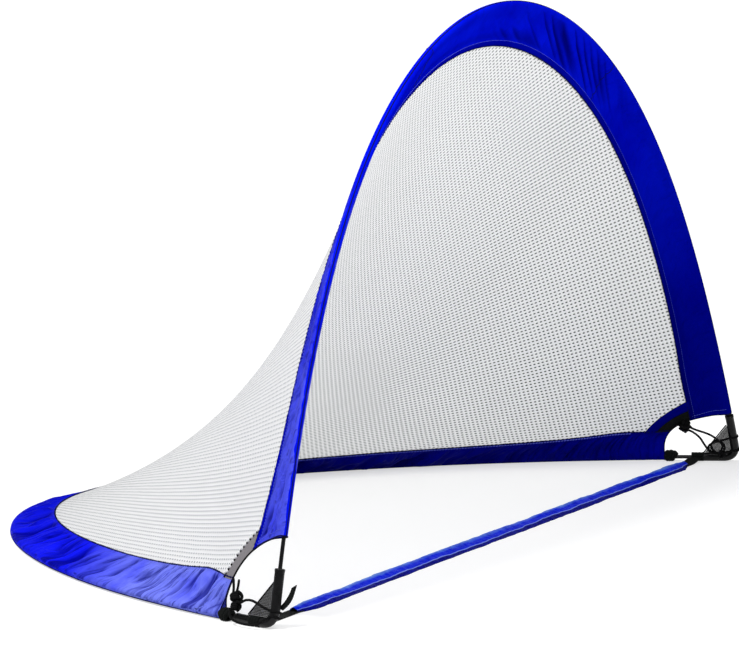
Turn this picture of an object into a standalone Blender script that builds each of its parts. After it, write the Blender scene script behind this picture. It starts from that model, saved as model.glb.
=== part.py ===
"""Pop-up soccer goal: two sprung rod hoops joined in flexible corner tubes, with a net drawn between them.

Metres, +Z up. The origin is on the ground under the middle of the ground strip. The mouth faces -Y,
the left corner is at -X and the net runs back towards +Y.
"""
import bpy
import bmesh
import numpy as np
from math import ceil, cos, pi, radians, sin

# Overall size
GOAL_WIDTH = 1.83
GOAL_HEIGHT = 0.914
GOAL_DEPTH = 0.960

# Shape of the two hoops: the angle at which the rod leaves the corner, and how its bend gathers at the crown
ARCH_LEAN = radians(1.9)
ARCH_FOOT_ANGLE = radians(77)
ARCH_CROWN_SHARE = 0.79
ARCH_CROWN_EASE = 3.2
BASE_FOOT_ANGLE = radians(71.4)
BASE_CROWN_SHARE = 0.36
BASE_CROWN_EASE = 6.2

# Rods, ferrules, corner tubes and sleeves
ROD_DIAMETER = 0.007
ROD_END_REACH = 0.048
ROD_BUTT_GAP = 0.0006
ROD_FIT = 0.0005
FERRULE_FIT = 0.0003
FERRULE_WALL = 0.0005
FERRULE_LENGTH = 0.060
FERRULE_DIAMETER = ROD_DIAMETER + 2 * (FERRULE_FIT + FERRULE_WALL)
TUBE_WALL = 0.0020
TUBE_DIAMETER = ROD_DIAMETER + 2 * (ROD_FIT + TUBE_WALL)
TUBE_UPPER_LEG = 0.088
TUBE_LOWER_LEG = 0.086
TUBE_BEND_REACH = 0.020
SLEEVE_EASE = 0.0006
SLEEVE_WALL = 0.0006
SLEEVE_DIAMETER = FERRULE_DIAMETER + 2 * (SLEEVE_EASE + SLEEVE_WALL)
CUFF_WALL = 0.0025
CUFF_DIAMETER = ROD_DIAMETER + 2 * (ROD_FIT + CUFF_WALL)
CUFF_LENGTH = 0.020

# Bare rod between the corner tubes and what comes next on each rod
ARCH_BARE_ROD = {"left": 0.052, "right": 0.006}
BASE_BARE_ROD = {"left": 0.016, "right": 0.030}

# Fabric
FABRIC_THICKNESS = 0.0010
FABRIC_GAP = 0.0003
SEAM_GAP = 0.0007
ARCH_BORDER_WIDTH = 0.082
BASE_BORDER_WIDTH = 0.084
ARCH_BORDER_END_WIDTH = 0.074
BASE_BORDER_END_WIDTH = 0.062
BORDER_TAPER_SHARE = 0.06
NET_DRAW_AT_ARCH = 0.05
NET_DRAW_AT_BASE = 0.70
NET_DRAW_EASE = 2.0
NET_END_PULL = 0.075
SURFACE_ROWS = 16
TAPE_WIDTH = 0.034
PLEAT_COUNT = 38
PLEAT_DEPTH = 0.0030
STATIONS = 48
NET_ROWS = 9
BORDER_ROWS = 2
PLEAT_STEPS = 4

# Ways in which the net's free edge leaves the arch and the base: towards the middle, back and up
EDGE_LEAVES_ARCH = (0.38, 0.90, -0.15)
EDGE_LEAVES_BASE = (0.35, 0.02, 0.93)

# Corner gussets and cords
GUSSET_REACH_UP = 0.068
GUSSET_REACH_BACK = 0.060
GUSSET_THICKNESS = 0.0008
GUSSET_TUBE_GAP = 0.0006
GUSSET_NOTCH_SHARE = 0.75
CORD_DIAMETER = 0.0026
HEM_CORD_DIAMETER = 0.0022
KNOT_SWELL = 2.3
CORD_STEP = 0.005
CORD_CURVE_STEPS = 12
CORD_TURN_STEP = radians(30)

# Ground strip and its webbing
STRIP_SET_BACK = {"left": 0.038, "right": 0.070}
STRIP_LENGTH = 1.530
STRIP_WIDTH = 0.042
STRIP_HEIGHT = 0.0062
STRIP_WALL = 0.0007
STRIP_GATHER_PITCH = 0.075
STRIP_GATHER_DEPTH = 0.0014
STRIP_FLAT_SHARE = 0.76
STRIP_EDGE_SHARE = 0.45
STRIP_SHOULDER_SHARE = 0.90
WEBBING_WIDTH = 0.024
WEBBING_THICKNESS = 0.0012
WEBBING_LIFT_REACH = 0.045
WEBBING_LOOP_LENGTH = 0.022
LOOP_EASE = 0.0006
LOOP_DIAMETER = TUBE_DIAMETER + 2 * (LOOP_EASE + WEBBING_THICKNESS)
WEBBING_TAIL_LENGTH = 0.046
WEBBING_TAIL_WIDTH = 0.012
WEBBING_TAIL_BOW = 0.004

# Webbing tail in the corner's directions up the arch, along the base and out of their plane
TAIL_HEIGHT = 0.034
TAIL_FORWARD = 0.001
TAIL_WAY = (0.82, -0.30, -0.48)
TAIL_ACROSS = (0.35, 0.94, 0.0)

# Heights of the rod centre lines: the webbing loops carry the corner tubes, and the sleeve lies on the ground
CORNER_HEIGHT = LOOP_DIAMETER / 2
SLEEVE_REST_HEIGHT = SLEEVE_DIAMETER / 2
SIDES = {"left": -1, "right": 1}
HALF = 240
CORNER_Y = -(STRIP_SET_BACK["left"] + STRIP_SET_BACK["right"]) / 2

# Colours
BLUE = (0.010, 0.013, 0.48)
BLUE_PALE = (0.10, 0.13, 0.70)
WHITE = (0.80, 0.82, 0.84)
GREY = (0.19, 0.18, 0.18)
BLACK = (0.012, 0.012, 0.014)
STEEL = (0.55, 0.55, 0.57)


def clear_scene():
    for item in list(bpy.data.objects):
        bpy.data.objects.remove(item, do_unlink=True)
    for group in list(bpy.data.collections):
        bpy.data.collections.remove(group)


def make_material(name, colour, roughness, metallic=0.0):
    material = bpy.data.materials.new(name)
    material.use_nodes = True
    shader = material.node_tree.nodes["Principled BSDF"]
    shader.inputs["Base Color"].default_value = (*colour, 1.0)
    shader.inputs["Roughness"].default_value = roughness
    shader.inputs["Metallic"].default_value = metallic
    material.diffuse_color = (*colour, 1.0)
    return material


# Curves in space

def between(first, second, share):
    return first + (second - first) * share


def bent_rod(half_width, rise, foot_angle, crown_share, crown_ease, steps=HALF):
    """Half of a sprung rod, from the foot at (0, 0) to the crown at (half_width, rise)."""
    along = (np.arange(steps) + 0.5) / steps
    turned = (1 - crown_share) * along + crown_share * along ** crown_ease
    heading = foot_angle * (1 - turned)
    inward = np.concatenate([[0], np.cumsum(np.cos(heading))])
    upward = np.concatenate([[0], np.cumsum(np.sin(heading))])
    return inward / inward[-1] * half_width, upward / upward[-1] * rise


def whole_hoop(rise, foot_angle, crown_share, crown_ease):
    """Both halves of a hoop in its own plane: distance across, and distance away from the corner line."""
    inward, away = bent_rod(GOAL_WIDTH / 2, rise, foot_angle, crown_share, crown_ease)
    across = np.concatenate([inward - GOAL_WIDTH / 2, (GOAL_WIDTH / 2 - inward)[::-1][1:]])
    return across, np.concatenate([away, away[::-1][1:]])


def arch_line():
    across, away = whole_hoop(GOAL_HEIGHT, ARCH_FOOT_ANGLE, ARCH_CROWN_SHARE, ARCH_CROWN_EASE)
    back = CORNER_Y + away * sin(ARCH_LEAN)
    return np.stack([across, back, CORNER_HEIGHT + away * cos(ARCH_LEAN)], axis=1)


def base_line():
    across, away = whole_hoop(GOAL_DEPTH, BASE_FOOT_ANGLE, BASE_CROWN_SHARE, BASE_CROWN_EASE)
    past_tube = np.clip((away - TUBE_LOWER_LEG) / (GOAL_DEPTH - TUBE_LOWER_LEG), 0, 1)
    height = between(CORNER_HEIGHT, SLEEVE_REST_HEIGHT, past_tube)
    return np.stack([across, CORNER_Y + away, height], axis=1)


def travel(points):
    """Distance run along a row of points, from its first one."""
    return np.concatenate([[0], np.cumsum(np.linalg.norm(np.diff(points, axis=0), axis=1))])


def at_distance(points, distance):
    """The point, or points, at a distance along a line."""
    run = travel(points)
    return np.stack([np.interp(distance, run, points[:, axis]) for axis in range(3)], axis=-1)


def smooth_route(points, step):
    """A smooth curve through hand-set points, read at even steps."""
    points = np.asarray(points, float)
    padded = np.vstack([2 * points[0] - points[1], points, 2 * points[-1] - points[-2]])
    dense = []
    for before, start, stop, after in zip(padded, padded[1:], padded[2:], padded[3:]):
        for t in np.linspace(0, 1, CORD_CURVE_STEPS, endpoint=False):
            pull = (stop - before) * t + (2 * before - 5 * start + 4 * stop - after) * t ** 2
            dense.append(0.5 * (2 * start + pull + (3 * start - before - 3 * stop + after) * t ** 3))
    dense = np.array(dense + [points[-1]])
    length = travel(dense)[-1]
    return at_distance(dense, np.linspace(0, length, ceil(length / step) + 1))


# Solids

def add_object(name, data, material, collection):
    item = bpy.data.objects.new(name, data)
    data.materials.append(material)
    collection.objects.link(item)
    return item


def tube_curve(points, radius, detail, caps, swell=None):
    curve = bpy.data.curves.new("tube", "CURVE")
    curve.dimensions = "3D"
    curve.render_resolution_u = 0
    curve.bevel_depth = radius
    curve.bevel_resolution = detail
    curve.use_fill_caps = caps
    spline = curve.splines.new("POLY")
    spline.points.add(len(points) - 1)
    for index, place in enumerate(points):
        spline.points[index].co = (*place, 1.0)
        if swell is not None:
            spline.points[index].radius = swell[index]
    return curve


def add_rod(name, points, diameter, material, collection, detail=2, swell=None):
    curve = tube_curve(points, diameter / 2, detail, True, swell)
    return add_object(name, curve, material, collection)


def add_hollow_tube(name, points, diameter, wall, material, collection, detail=2):
    """A tube with open ends: the swept outer skin, thickened inwards."""
    guide = bpy.data.objects.new(name + "_guide", tube_curve(points, diameter / 2, detail, False))
    collection.objects.link(guide)
    bpy.context.view_layer.update()
    skin = bpy.data.meshes.new_from_object(guide.evaluated_get(bpy.context.evaluated_depsgraph_get()))
    bpy.data.objects.remove(guide, do_unlink=True)
    item = add_object(name, skin, material, collection)
    thicken(item, wall, -1.0)
    skin.shade_smooth()
    return item


def thicken(item, thickness, offset):
    shell = item.modifiers.new("Thickness", "SOLIDIFY")
    shell.thickness = thickness
    shell.offset = offset
    shell.use_even_offset = True


def add_sheet(name, grid, thickness, material, collection):
    """A fabric sheet: the grid of points as a surface, thickened both ways."""
    columns, rows = grid.shape[:2]
    mesh = bmesh.new()
    corners = [[mesh.verts.new(grid[i, j]) for j in range(rows)] for i in range(columns)]
    for i in range(columns - 1):
        for j in range(rows - 1):
            mesh.faces.new((corners[i][j], corners[i + 1][j], corners[i + 1][j + 1], corners[i][j + 1]))
    bmesh.ops.recalc_face_normals(mesh, faces=mesh.faces)
    data = bpy.data.meshes.new(name)
    mesh.to_mesh(data)
    mesh.free()
    data.shade_smooth()
    item = add_object(name, data, material, collection)
    thicken(item, thickness, 0.0)
    return item


# The drawn surface between the hoops

def side_edge(arch_end, base_end, side, rows):
    """The free edge beside a corner, which curves away from it from the arch sleeve to the base sleeve."""
    inward = np.array([-side, 1, 1])
    leave_arch = arch_end + NET_END_PULL * inward * EDGE_LEAVES_ARCH
    leave_base = base_end + NET_END_PULL * inward * EDGE_LEAVES_BASE
    t = np.linspace(0, 1, rows + 1)[:, None]
    ends = arch_end * (1 - t) ** 3 + base_end * t ** 3
    return ends + 3 * leave_arch * t * (1 - t) ** 2 + 3 * leave_base * t ** 2 * (1 - t)


def drawn_surface(arch_points, base_points, rows=SURFACE_ROWS):
    """Lines from the arch to the base on the surface that an evenly pulled net takes up."""
    count = len(arch_points)
    share = travel(arch_points) / travel(arch_points)[-1]
    surface = np.zeros((count, rows + 1, 3))
    surface[:, 0] = arch_points
    surface[:, -1] = base_points
    surface[0] = side_edge(arch_points[0], base_points[0], SIDES["left"], rows)
    surface[-1] = side_edge(arch_points[-1], base_points[-1], SIDES["right"], rows)
    number = np.arange(count * rows + count).reshape(count, rows + 1)
    fixed = np.zeros((count, rows + 1), bool)
    fixed[[0, -1]] = True
    fixed[:, [0, -1]] = True
    pull = np.zeros((fixed.size, fixed.size))

    def tie(first, second, strength):
        pull[first, second] -= strength
        pull[second, first] -= strength
        pull[first, first] += strength
        pull[second, second] += strength

    for i in range(count):
        span = (share[min(i + 1, count - 1)] - share[max(i - 1, 0)]) / 2
        for j in range(rows):
            tie(number[i, j], number[i, j + 1], span * rows)
            if i + 1 < count:
                draw = between(NET_DRAW_AT_ARCH, NET_DRAW_AT_BASE, (j / rows) ** NET_DRAW_EASE)
                tie(number[i, j], number[i + 1, j], draw / rows / (share[i + 1] - share[i]))
    free = ~fixed.ravel()
    flat = surface.reshape(-1, 3)
    flat[free] = np.linalg.solve(pull[np.ix_(free, free)], -pull[np.ix_(free, ~free)] @ flat[~free])
    return flat.reshape(surface.shape)


def strip_of(surface, start, stop, rows):
    """The part of the surface between two distances along each of its lines."""
    grid = []
    for line, first, last in zip(surface, start, stop):
        grid.append(at_distance(line, np.linspace(first, last, rows + 1)))
    return np.array(grid)


def seat_on_sleeve(hoop_points, next_points):
    """How far along each line the sleeve's surface lies, for lines that leave the hoop at a slant."""
    tangent = np.gradient(hoop_points, axis=0)
    tangent /= np.linalg.norm(tangent, axis=1, keepdims=True)
    leave = next_points - hoop_points
    leave /= np.linalg.norm(leave, axis=1, keepdims=True)
    slant = np.einsum("ij,ij->i", tangent, leave)
    return (SLEEVE_DIAMETER / 2 + FABRIC_GAP) / np.sqrt(1 - slant ** 2)


def border_width(full_width, end_width, count):
    """Width of a border at each station: full along the hoop, narrower at its two ends."""
    place = np.linspace(0, 1, count)
    ease = np.clip(np.minimum(place, 1 - place) / BORDER_TAPER_SHARE, 0, 1)
    ease = ease * ease * (3 - 2 * ease)
    return between(end_width, full_width, ease)


def pleated(surface, start, stop, rows):
    """A strip gathered on its sleeve, with radial pleats that die out at its two long seams."""
    columns = PLEAT_COUNT * PLEAT_STEPS
    place = np.linspace(0, len(surface) - 1, columns + 1)
    before = np.minimum(place.astype(int), len(surface) - 2)
    share = (place - before)[:, None, None]
    plain = strip_of(surface, start, stop, rows)
    fine = plain[before] * (1 - share) + plain[before + 1] * share
    along = np.gradient(fine, axis=0)
    outward = np.cross(along, np.gradient(fine, axis=1))
    outward /= np.linalg.norm(outward, axis=2, keepdims=True)
    wave = np.sin(2 * pi * np.arange(columns + 1) / PLEAT_STEPS)[:, None, None]
    bulge = np.sin(pi * np.linspace(0, 1, rows + 1))[None, :, None]
    return fine + PLEAT_DEPTH * wave * bulge * outward


# Corner pieces, placed from the corner point by the directions of the two rods

def from_corner(line, side):
    """A hoop's line, run from the corner on the given side."""
    return line if side == "left" else line[::-1]


def corner_frame(side):
    """Corner point, the ways up the arch and along the base, and the way out of their plane."""
    arch, base = from_corner(arch_line(), side), from_corner(base_line(), side)
    up = at_distance(arch, GUSSET_REACH_UP) - arch[0]
    back = at_distance(base, GUSSET_REACH_BACK) - base[0]
    up /= np.linalg.norm(up)
    back /= np.linalg.norm(back)
    out = np.cross(up, back) * SIDES[side]
    out *= np.sign(out[0]) * SIDES[side] / np.linalg.norm(out)
    return arch[0], up, back, out


def in_corner(side, places):
    """World points for places given as distances up the arch, along the base and out of their plane."""
    corner, up, back, out = corner_frame(side)
    return np.array([corner + a * up + b * back + c * out for a, b, c in places])


def corner_tube(side, material, collection):
    arch, base = from_corner(arch_line(), side), from_corner(base_line(), side)
    upper = at_distance(arch, np.linspace(TUBE_UPPER_LEG, TUBE_BEND_REACH, 4))
    lower = at_distance(base, np.linspace(TUBE_BEND_REACH, TUBE_LOWER_LEG, 4))
    t = np.linspace(0, 1, 9)[1:-1, None]
    bend = upper[-1] * (1 - t) ** 2 + 2 * arch[0] * t * (1 - t) + lower[0] * t ** 2
    add_hollow_tube("corner_tube_" + side, np.vstack([upper, bend, lower]), TUBE_DIAMETER, TUBE_WALL,
                    material, collection, 4)


def webbing_loop(side, material, collection):
    """Band of webbing sewn round the lower leg of the corner tube, where the ground strip meets it."""
    base = from_corner(base_line(), side)
    middle = np.interp(CORNER_Y + STRIP_SET_BACK[side], base[:HALF, 1], travel(base)[:HALF])
    ends = np.linspace(middle - WEBBING_LOOP_LENGTH / 2, middle + WEBBING_LOOP_LENGTH / 2, 3)
    add_hollow_tube("webbing_loop_" + side, at_distance(base, ends), LOOP_DIAMETER, WEBBING_THICKNESS,
                    material, collection, 4)


def gusset_places():
    """Corners of the gusset, clear of the tube and its webbing loop, clipped round the inside of the bend."""
    clear = TUBE_DIAMETER / 2 + GUSSET_TUBE_GAP
    above_loop = LOOP_DIAMETER / 2 + FABRIC_GAP
    notch = TUBE_BEND_REACH / 4 + clear * GUSSET_NOTCH_SHARE
    return [(GUSSET_REACH_UP, clear), (TUBE_BEND_REACH, clear), (notch, notch),
            (above_loop, TUBE_BEND_REACH), (above_loop, GUSSET_REACH_BACK)]


def corner_gusset(side, material, collection):
    """Three-cornered mesh panel in the plane of the corner tube."""
    mesh = bmesh.new()
    outline = in_corner(side, [(up, back, 0) for up, back in gusset_places()])
    mesh.faces.new([mesh.verts.new(place) for place in outline])
    data = bpy.data.meshes.new("gusset")
    mesh.to_mesh(data)
    mesh.free()
    item = add_object("corner_gusset_" + side, data, material, collection)
    thicken(item, GUSSET_THICKNESS, 0.0)


def gusset_cord(side, material, collection):
    """Thin cord along the gusset's free edge."""
    upper, lower = np.array(gusset_places()[0]), np.array(gusset_places()[-1])
    way = (lower - upper) / np.linalg.norm(lower - upper)
    aside = np.array([way[1], -way[0]]) * (HEM_CORD_DIAMETER / 2 + FABRIC_GAP)
    ends = [upper + aside + way * HEM_CORD_DIAMETER, lower + aside]
    places = [(*between(ends[0], ends[1], t), 0) for t in (0, 0.5, 1)]
    add_rod("gusset_cord_" + side, in_corner(side, places), HEM_CORD_DIAMETER, material, collection)


def turn_round_leg(height, first_angle, last_angle):
    """Places of a cord that turns round the upper leg of the corner tube."""
    turns = ceil(abs(last_angle - first_angle) / CORD_TURN_STEP)
    angles = np.linspace(first_angle, last_angle, turns + 1)
    radius = (TUBE_DIAMETER + CORD_DIAMETER) / 2 + 2 * FABRIC_GAP
    return [(height, radius * cos(angle), radius * sin(angle)) for angle in angles]


# Routes of the corner cords: distances up the arch, along the base and out of their plane
CORD_ROUTES = {
    "corner_cord_left_upper": ("left", 1, [
        (0.058, 0.092, 0.002), (0.042, 0.091, 0.004), (0.034, 0.078, 0.006), (0.037, 0.060, 0.009),
        (0.032, 0.040, 0.012), (0.025, 0.022, 0.0115), *turn_round_leg(0.022, radians(70), radians(255))]),
    "corner_cord_left_lower": ("left", 1, [
        (0.041, 0.098, 0.004), (0.028, 0.093, 0.007), (0.014, 0.096, 0.014), (0.002, 0.086, 0.018),
        (-0.004, 0.066, 0.020), (-0.005, 0.044, 0.020), (-0.004, 0.024, 0.018), (0.004, 0.009, 0.0130),
        *turn_round_leg(0.014, radians(80), radians(250))]),
    "corner_cord_right_upper": ("right", 1, [
        (0.062, 0.108, -0.004), (0.054, 0.097, -0.005), (0.050, 0.075, -0.006), (0.046, 0.046, -0.007),
        (0.042, 0.022, -0.0095), *turn_round_leg(0.040, radians(-70), radians(-255))]),
    "corner_cord_right_lower": ("right", 1, [
        (0.055, 0.112, -0.007), (0.046, 0.100, -0.007), (0.040, 0.080, -0.007), (0.031, 0.058, -0.008),
        (0.024, 0.034, -0.010), (0.019, 0.016, -0.0105), *turn_round_leg(0.017, radians(-70), radians(-255))]),
}


def corner_cord(name, material, collection):
    """Cord laced from the end of the net's edge tape to the tube, with a knot near its free end."""
    side, knot_at, route = CORD_ROUTES[name]
    points = smooth_route(in_corner(side, route), CORD_STEP)
    knot = in_corner(side, [route[knot_at]])[0]
    near = np.argmin(np.linalg.norm(points - knot, axis=1))
    swell = [KNOT_SWELL if index in (near, near + 1) else 1.0 for index in range(len(points))]
    add_rod(name, points, CORD_DIAMETER, material, collection, 2, swell)


def webbing_tail(material, collection):
    """Loose end of webbing that stands up beside the left corner tube."""
    beside_tube = -(TUBE_DIAMETER + WEBBING_THICKNESS) / 2 - FABRIC_GAP
    start = np.array((TAIL_HEIGHT, -TAIL_FORWARD, beside_tube))
    across = np.array(TAIL_ACROSS) * WEBBING_TAIL_WIDTH / 2
    grid = []
    for share in np.linspace(0, 1, 5):
        bow = np.array((0, WEBBING_TAIL_BOW * sin(pi * share), 0))
        centre = start + np.array(TAIL_WAY) * WEBBING_TAIL_LENGTH * share + bow
        grid.append(in_corner("left", [centre - across, centre + across]))
    add_sheet("webbing_tail_left", np.array(grid), WEBBING_THICKNESS, material, collection)


# The ground strip between the corners

def strip_middle(x):
    """The strip runs at a slant, since it meets the two corner tubes at different distances back."""
    return x / GOAL_WIDTH * (STRIP_SET_BACK["right"] - STRIP_SET_BACK["left"])


def strip_ring(top):
    """Section of the strip's sleeve: flat on the ground, rounded over, with the height of its top."""
    edge, flat = STRIP_WIDTH / 2, STRIP_WIDTH * STRIP_FLAT_SHARE / 2
    side, shoulder = top * STRIP_EDGE_SHARE, top * STRIP_SHOULDER_SHARE
    return [(-flat, 0), (flat, 0), (edge, side), (flat, shoulder), (0, top), (-flat, shoulder), (-edge, side)]


def ground_strip(material, collection):
    """Flat fabric sleeve on the ground between the corners, gathered along its length."""
    steps = 2 * ceil(STRIP_LENGTH / STRIP_GATHER_PITCH) + 1
    mesh = bmesh.new()
    rings = []
    for index in range(steps + 1):
        x = between(-STRIP_LENGTH / 2, STRIP_LENGTH / 2, index / steps)
        top = STRIP_HEIGHT + (index % 2) * STRIP_GATHER_DEPTH
        rings.append([mesh.verts.new((x, strip_middle(x) + y, z)) for y, z in strip_ring(top)])
    for near, far in zip(rings, rings[1:]):
        for point, place in enumerate(near):
            after = (point + 1) % len(near)
            mesh.faces.new((place, near[after], far[after], far[point]))
    bmesh.ops.recalc_face_normals(mesh, faces=mesh.faces)
    data = bpy.data.meshes.new("ground_strip")
    mesh.to_mesh(data)
    mesh.free()
    thicken(add_object("ground_strip", data, material, collection), STRIP_WALL, -1.0)


def webbing_end(side, y):
    """Where one edge of the webbing stops, just clear of the loop on the corner tube."""
    base = from_corner(base_line(), side)
    tube_x = np.interp(CORNER_Y + STRIP_SET_BACK[side] + y, base[:HALF, 1], base[:HALF, 0])
    return tube_x - SIDES[side] * (LOOP_DIAMETER / 2 + FABRIC_GAP) / sin(BASE_FOOT_ANGLE)


def strip_webbing(material, collection):
    """Webbing through the sleeve, which lifts at each end to the loop on the corner tube."""
    low = STRIP_WALL + FABRIC_GAP + WEBBING_THICKNESS / 2
    rows = []
    for y in (-WEBBING_WIDTH / 2, WEBBING_WIDTH / 2):
        left, right = webbing_end("left", y), webbing_end("right", y)
        half = [(0, CORNER_HEIGHT), (WEBBING_LIFT_REACH / 2, (CORNER_HEIGHT + low) / 2),
                (WEBBING_LIFT_REACH, low), (STRIP_LENGTH / 3, low)]
        run = [(left + reach, z) for reach, z in half] + [(right - reach, z) for reach, z in half[::-1]]
        rows.append([(x, strip_middle(x) + y, z) for x, z in run])
    grid = np.array(rows).transpose(1, 0, 2)
    add_sheet("strip_webbing", grid, WEBBING_THICKNESS, material, collection)


# The hoops and what is sewn to them

def hoop_rods(name, line, stations, material, collection):
    """Two rod sections that butt at the crown, where the hoop's middle station is."""
    length = travel(line)[-1]
    middle = len(stations) // 2
    crown = stations[middle]
    for side in SIDES:
        if side == "left":
            bare = np.linspace(ROD_END_REACH, stations[0], 4)[:-1]
            distances = [*bare, *stations[:middle], crown - ROD_BUTT_GAP / 2]
        else:
            bare = np.linspace(stations[-1], length - ROD_END_REACH, 4)[1:]
            distances = [crown + ROD_BUTT_GAP / 2, *stations[middle + 1:], *bare]
        add_rod(name + "_rod_" + side, on_chords(line, stations, distances), ROD_DIAMETER,
                material, collection)


def on_chords(line, stations, distances):
    """Points on the straight runs between the stations, and on the line itself past their two ends."""
    corners = at_distance(line, stations)
    points = []
    for distance in distances:
        if stations[0] <= distance <= stations[-1]:
            points.append([np.interp(distance, stations, corners[:, axis]) for axis in range(3)])
        else:
            points.append(at_distance(line, distance))
    return np.array(points)


def ferrule(name, line, stations, material, collection):
    crown = stations[len(stations) // 2]
    distances = [crown - FERRULE_LENGTH / 2, crown, crown + FERRULE_LENGTH / 2]
    add_hollow_tube(name, on_chords(line, stations, distances), FERRULE_DIAMETER, FERRULE_WALL,
                    material, collection, 4)


def cuff(side, sleeve_start, material, collection):
    """Stiff cuff on the base rod, against the end of its sleeve."""
    base = from_corner(base_line(), side)
    stop = sleeve_start - FABRIC_GAP
    add_hollow_tube("base_cuff_" + side, at_distance(base, np.linspace(stop - CUFF_LENGTH, stop, 2)),
                    CUFF_DIAMETER, CUFF_WALL, material, collection)


def fabric(arch_points, base_points, blue, pale_blue, white, grey, collection):
    """Borders, net and edge tapes, cut from the one drawn surface with a gap at each seam."""
    surface = drawn_surface(arch_points, base_points)
    count = len(surface)
    length = np.array([travel(line)[-1] for line in surface])
    arch_hem = seat_on_sleeve(arch_points, surface[:, 1])
    base_hem = seat_on_sleeve(base_points, surface[:, -2])
    arch_seam = border_width(ARCH_BORDER_WIDTH, ARCH_BORDER_END_WIDTH, count)
    base_seam = length - border_width(BASE_BORDER_WIDTH, BASE_BORDER_END_WIDTH, count)
    arch_border = strip_of(surface, arch_hem, arch_seam, BORDER_ROWS)
    add_sheet("arch_border", arch_border, FABRIC_THICKNESS, blue, collection)
    base_border = pleated(surface, base_seam, length - base_hem, BORDER_ROWS)
    add_sheet("base_border", base_border, FABRIC_THICKNESS, pale_blue, collection)
    net = strip_of(surface, arch_seam + SEAM_GAP, base_seam - SEAM_GAP, NET_ROWS)
    for side in SIDES:
        lines = net if side == "left" else net[::-1]
        spacing = np.linalg.norm(lines[1] - lines[0], axis=1).mean()
        tape = [between(lines[0], lines[1], share) for share in (0, TAPE_WIDTH / spacing)]
        add_sheet("corner_tape_" + side, np.array(tape), FABRIC_THICKNESS, grey, collection)
        lines[0] = between(lines[0], lines[1], (TAPE_WIDTH + SEAM_GAP) / spacing)
    add_sheet("net", net, FABRIC_THICKNESS, white, collection)


def build():
    clear_scene()
    goal = bpy.data.collections.new("pop_up_goal")
    bpy.context.scene.collection.children.link(goal)
    blue = make_material("blue_fabric", BLUE, 0.55)
    pale_blue = make_material("pleated_fabric", BLUE_PALE, 0.55)
    white = make_material("net_mesh", WHITE, 0.8)
    grey = make_material("edge_tape", GREY, 0.8)
    black = make_material("black_cord", BLACK, 0.7)
    rubber = make_material("corner_rubber", BLACK, 0.5)
    glass_fibre = make_material("rod", BLACK, 0.35)
    steel = make_material("ferrule_steel", STEEL, 0.35, 1.0)

    arch, base = arch_line(), base_line()
    arch_start = {side: TUBE_UPPER_LEG + ARCH_BARE_ROD[side] for side in SIDES}
    base_start = {side: TUBE_LOWER_LEG + BASE_BARE_ROD[side] + CUFF_LENGTH + 2 * FABRIC_GAP for side in SIDES}
    arch_stations = np.linspace(arch_start["left"], travel(arch)[-1] - arch_start["right"], STATIONS + 1)
    base_stations = np.linspace(base_start["left"], travel(base)[-1] - base_start["right"], STATIONS + 1)
    arch_points, base_points = at_distance(arch, arch_stations), at_distance(base, base_stations)

    hoop_rods("arch", arch, arch_stations, glass_fibre, goal)
    hoop_rods("base", base, base_stations, glass_fibre, goal)
    ferrule("arch_ferrule", arch, arch_stations, steel, goal)
    ferrule("base_ferrule", base, base_stations, steel, goal)
    add_hollow_tube("arch_sleeve", arch_points, SLEEVE_DIAMETER, SLEEVE_WALL, blue, goal)
    add_hollow_tube("base_sleeve", base_points, SLEEVE_DIAMETER, SLEEVE_WALL, pale_blue, goal)
    fabric(arch_points, base_points, blue, pale_blue, white, grey, goal)
    for side in SIDES:
        corner_tube(side, rubber, goal)
        cuff(side, base_start[side], black, goal)
        webbing_loop(side, black, goal)
        corner_gusset(side, black, goal)
        gusset_cord(side, black, goal)
    for name in CORD_ROUTES:
        corner_cord(name, black, goal)
    ground_strip(blue, goal)
    strip_webbing(black, goal)
    webbing_tail(black, goal)


build()
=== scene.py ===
"""Pop-up soccer goal: the cloth, net, cords, corners, camera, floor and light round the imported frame.

Metres, +Z up. The origin is on the ground under the middle of the ground strip, the mouth faces -Y and the
left corner is at -X.
"""
from math import ceil, cos, pi, radians, sin

import bpy
import numpy as np
from mathutils import Matrix

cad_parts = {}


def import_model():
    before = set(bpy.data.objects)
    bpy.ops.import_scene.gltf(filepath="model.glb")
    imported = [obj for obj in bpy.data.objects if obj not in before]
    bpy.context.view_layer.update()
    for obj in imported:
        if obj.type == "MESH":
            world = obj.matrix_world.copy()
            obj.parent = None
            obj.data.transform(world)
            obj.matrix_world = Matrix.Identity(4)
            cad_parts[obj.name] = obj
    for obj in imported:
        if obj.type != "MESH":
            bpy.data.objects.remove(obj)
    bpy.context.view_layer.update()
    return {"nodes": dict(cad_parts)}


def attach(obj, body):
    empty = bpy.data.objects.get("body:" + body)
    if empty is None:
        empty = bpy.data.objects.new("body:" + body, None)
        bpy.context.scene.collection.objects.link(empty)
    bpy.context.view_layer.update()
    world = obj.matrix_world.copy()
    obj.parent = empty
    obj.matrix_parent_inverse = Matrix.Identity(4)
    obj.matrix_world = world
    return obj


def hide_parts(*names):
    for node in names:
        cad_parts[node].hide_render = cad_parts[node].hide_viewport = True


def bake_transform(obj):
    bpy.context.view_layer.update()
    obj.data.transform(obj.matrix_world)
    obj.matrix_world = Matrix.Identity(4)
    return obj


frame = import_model()

# Camera
IMAGE_WIDTH = 739
EYE = (-7.40686, -3.63969, 1.40895)
EYE_YAW, EYE_PITCH, EYE_ROLL = 1.08753, -0.1245, -0.01931
FOCAL_PIXELS = 4816.76
SENSOR_WIDTH, FAR_CLIP = 36.0, 200.0

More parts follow.
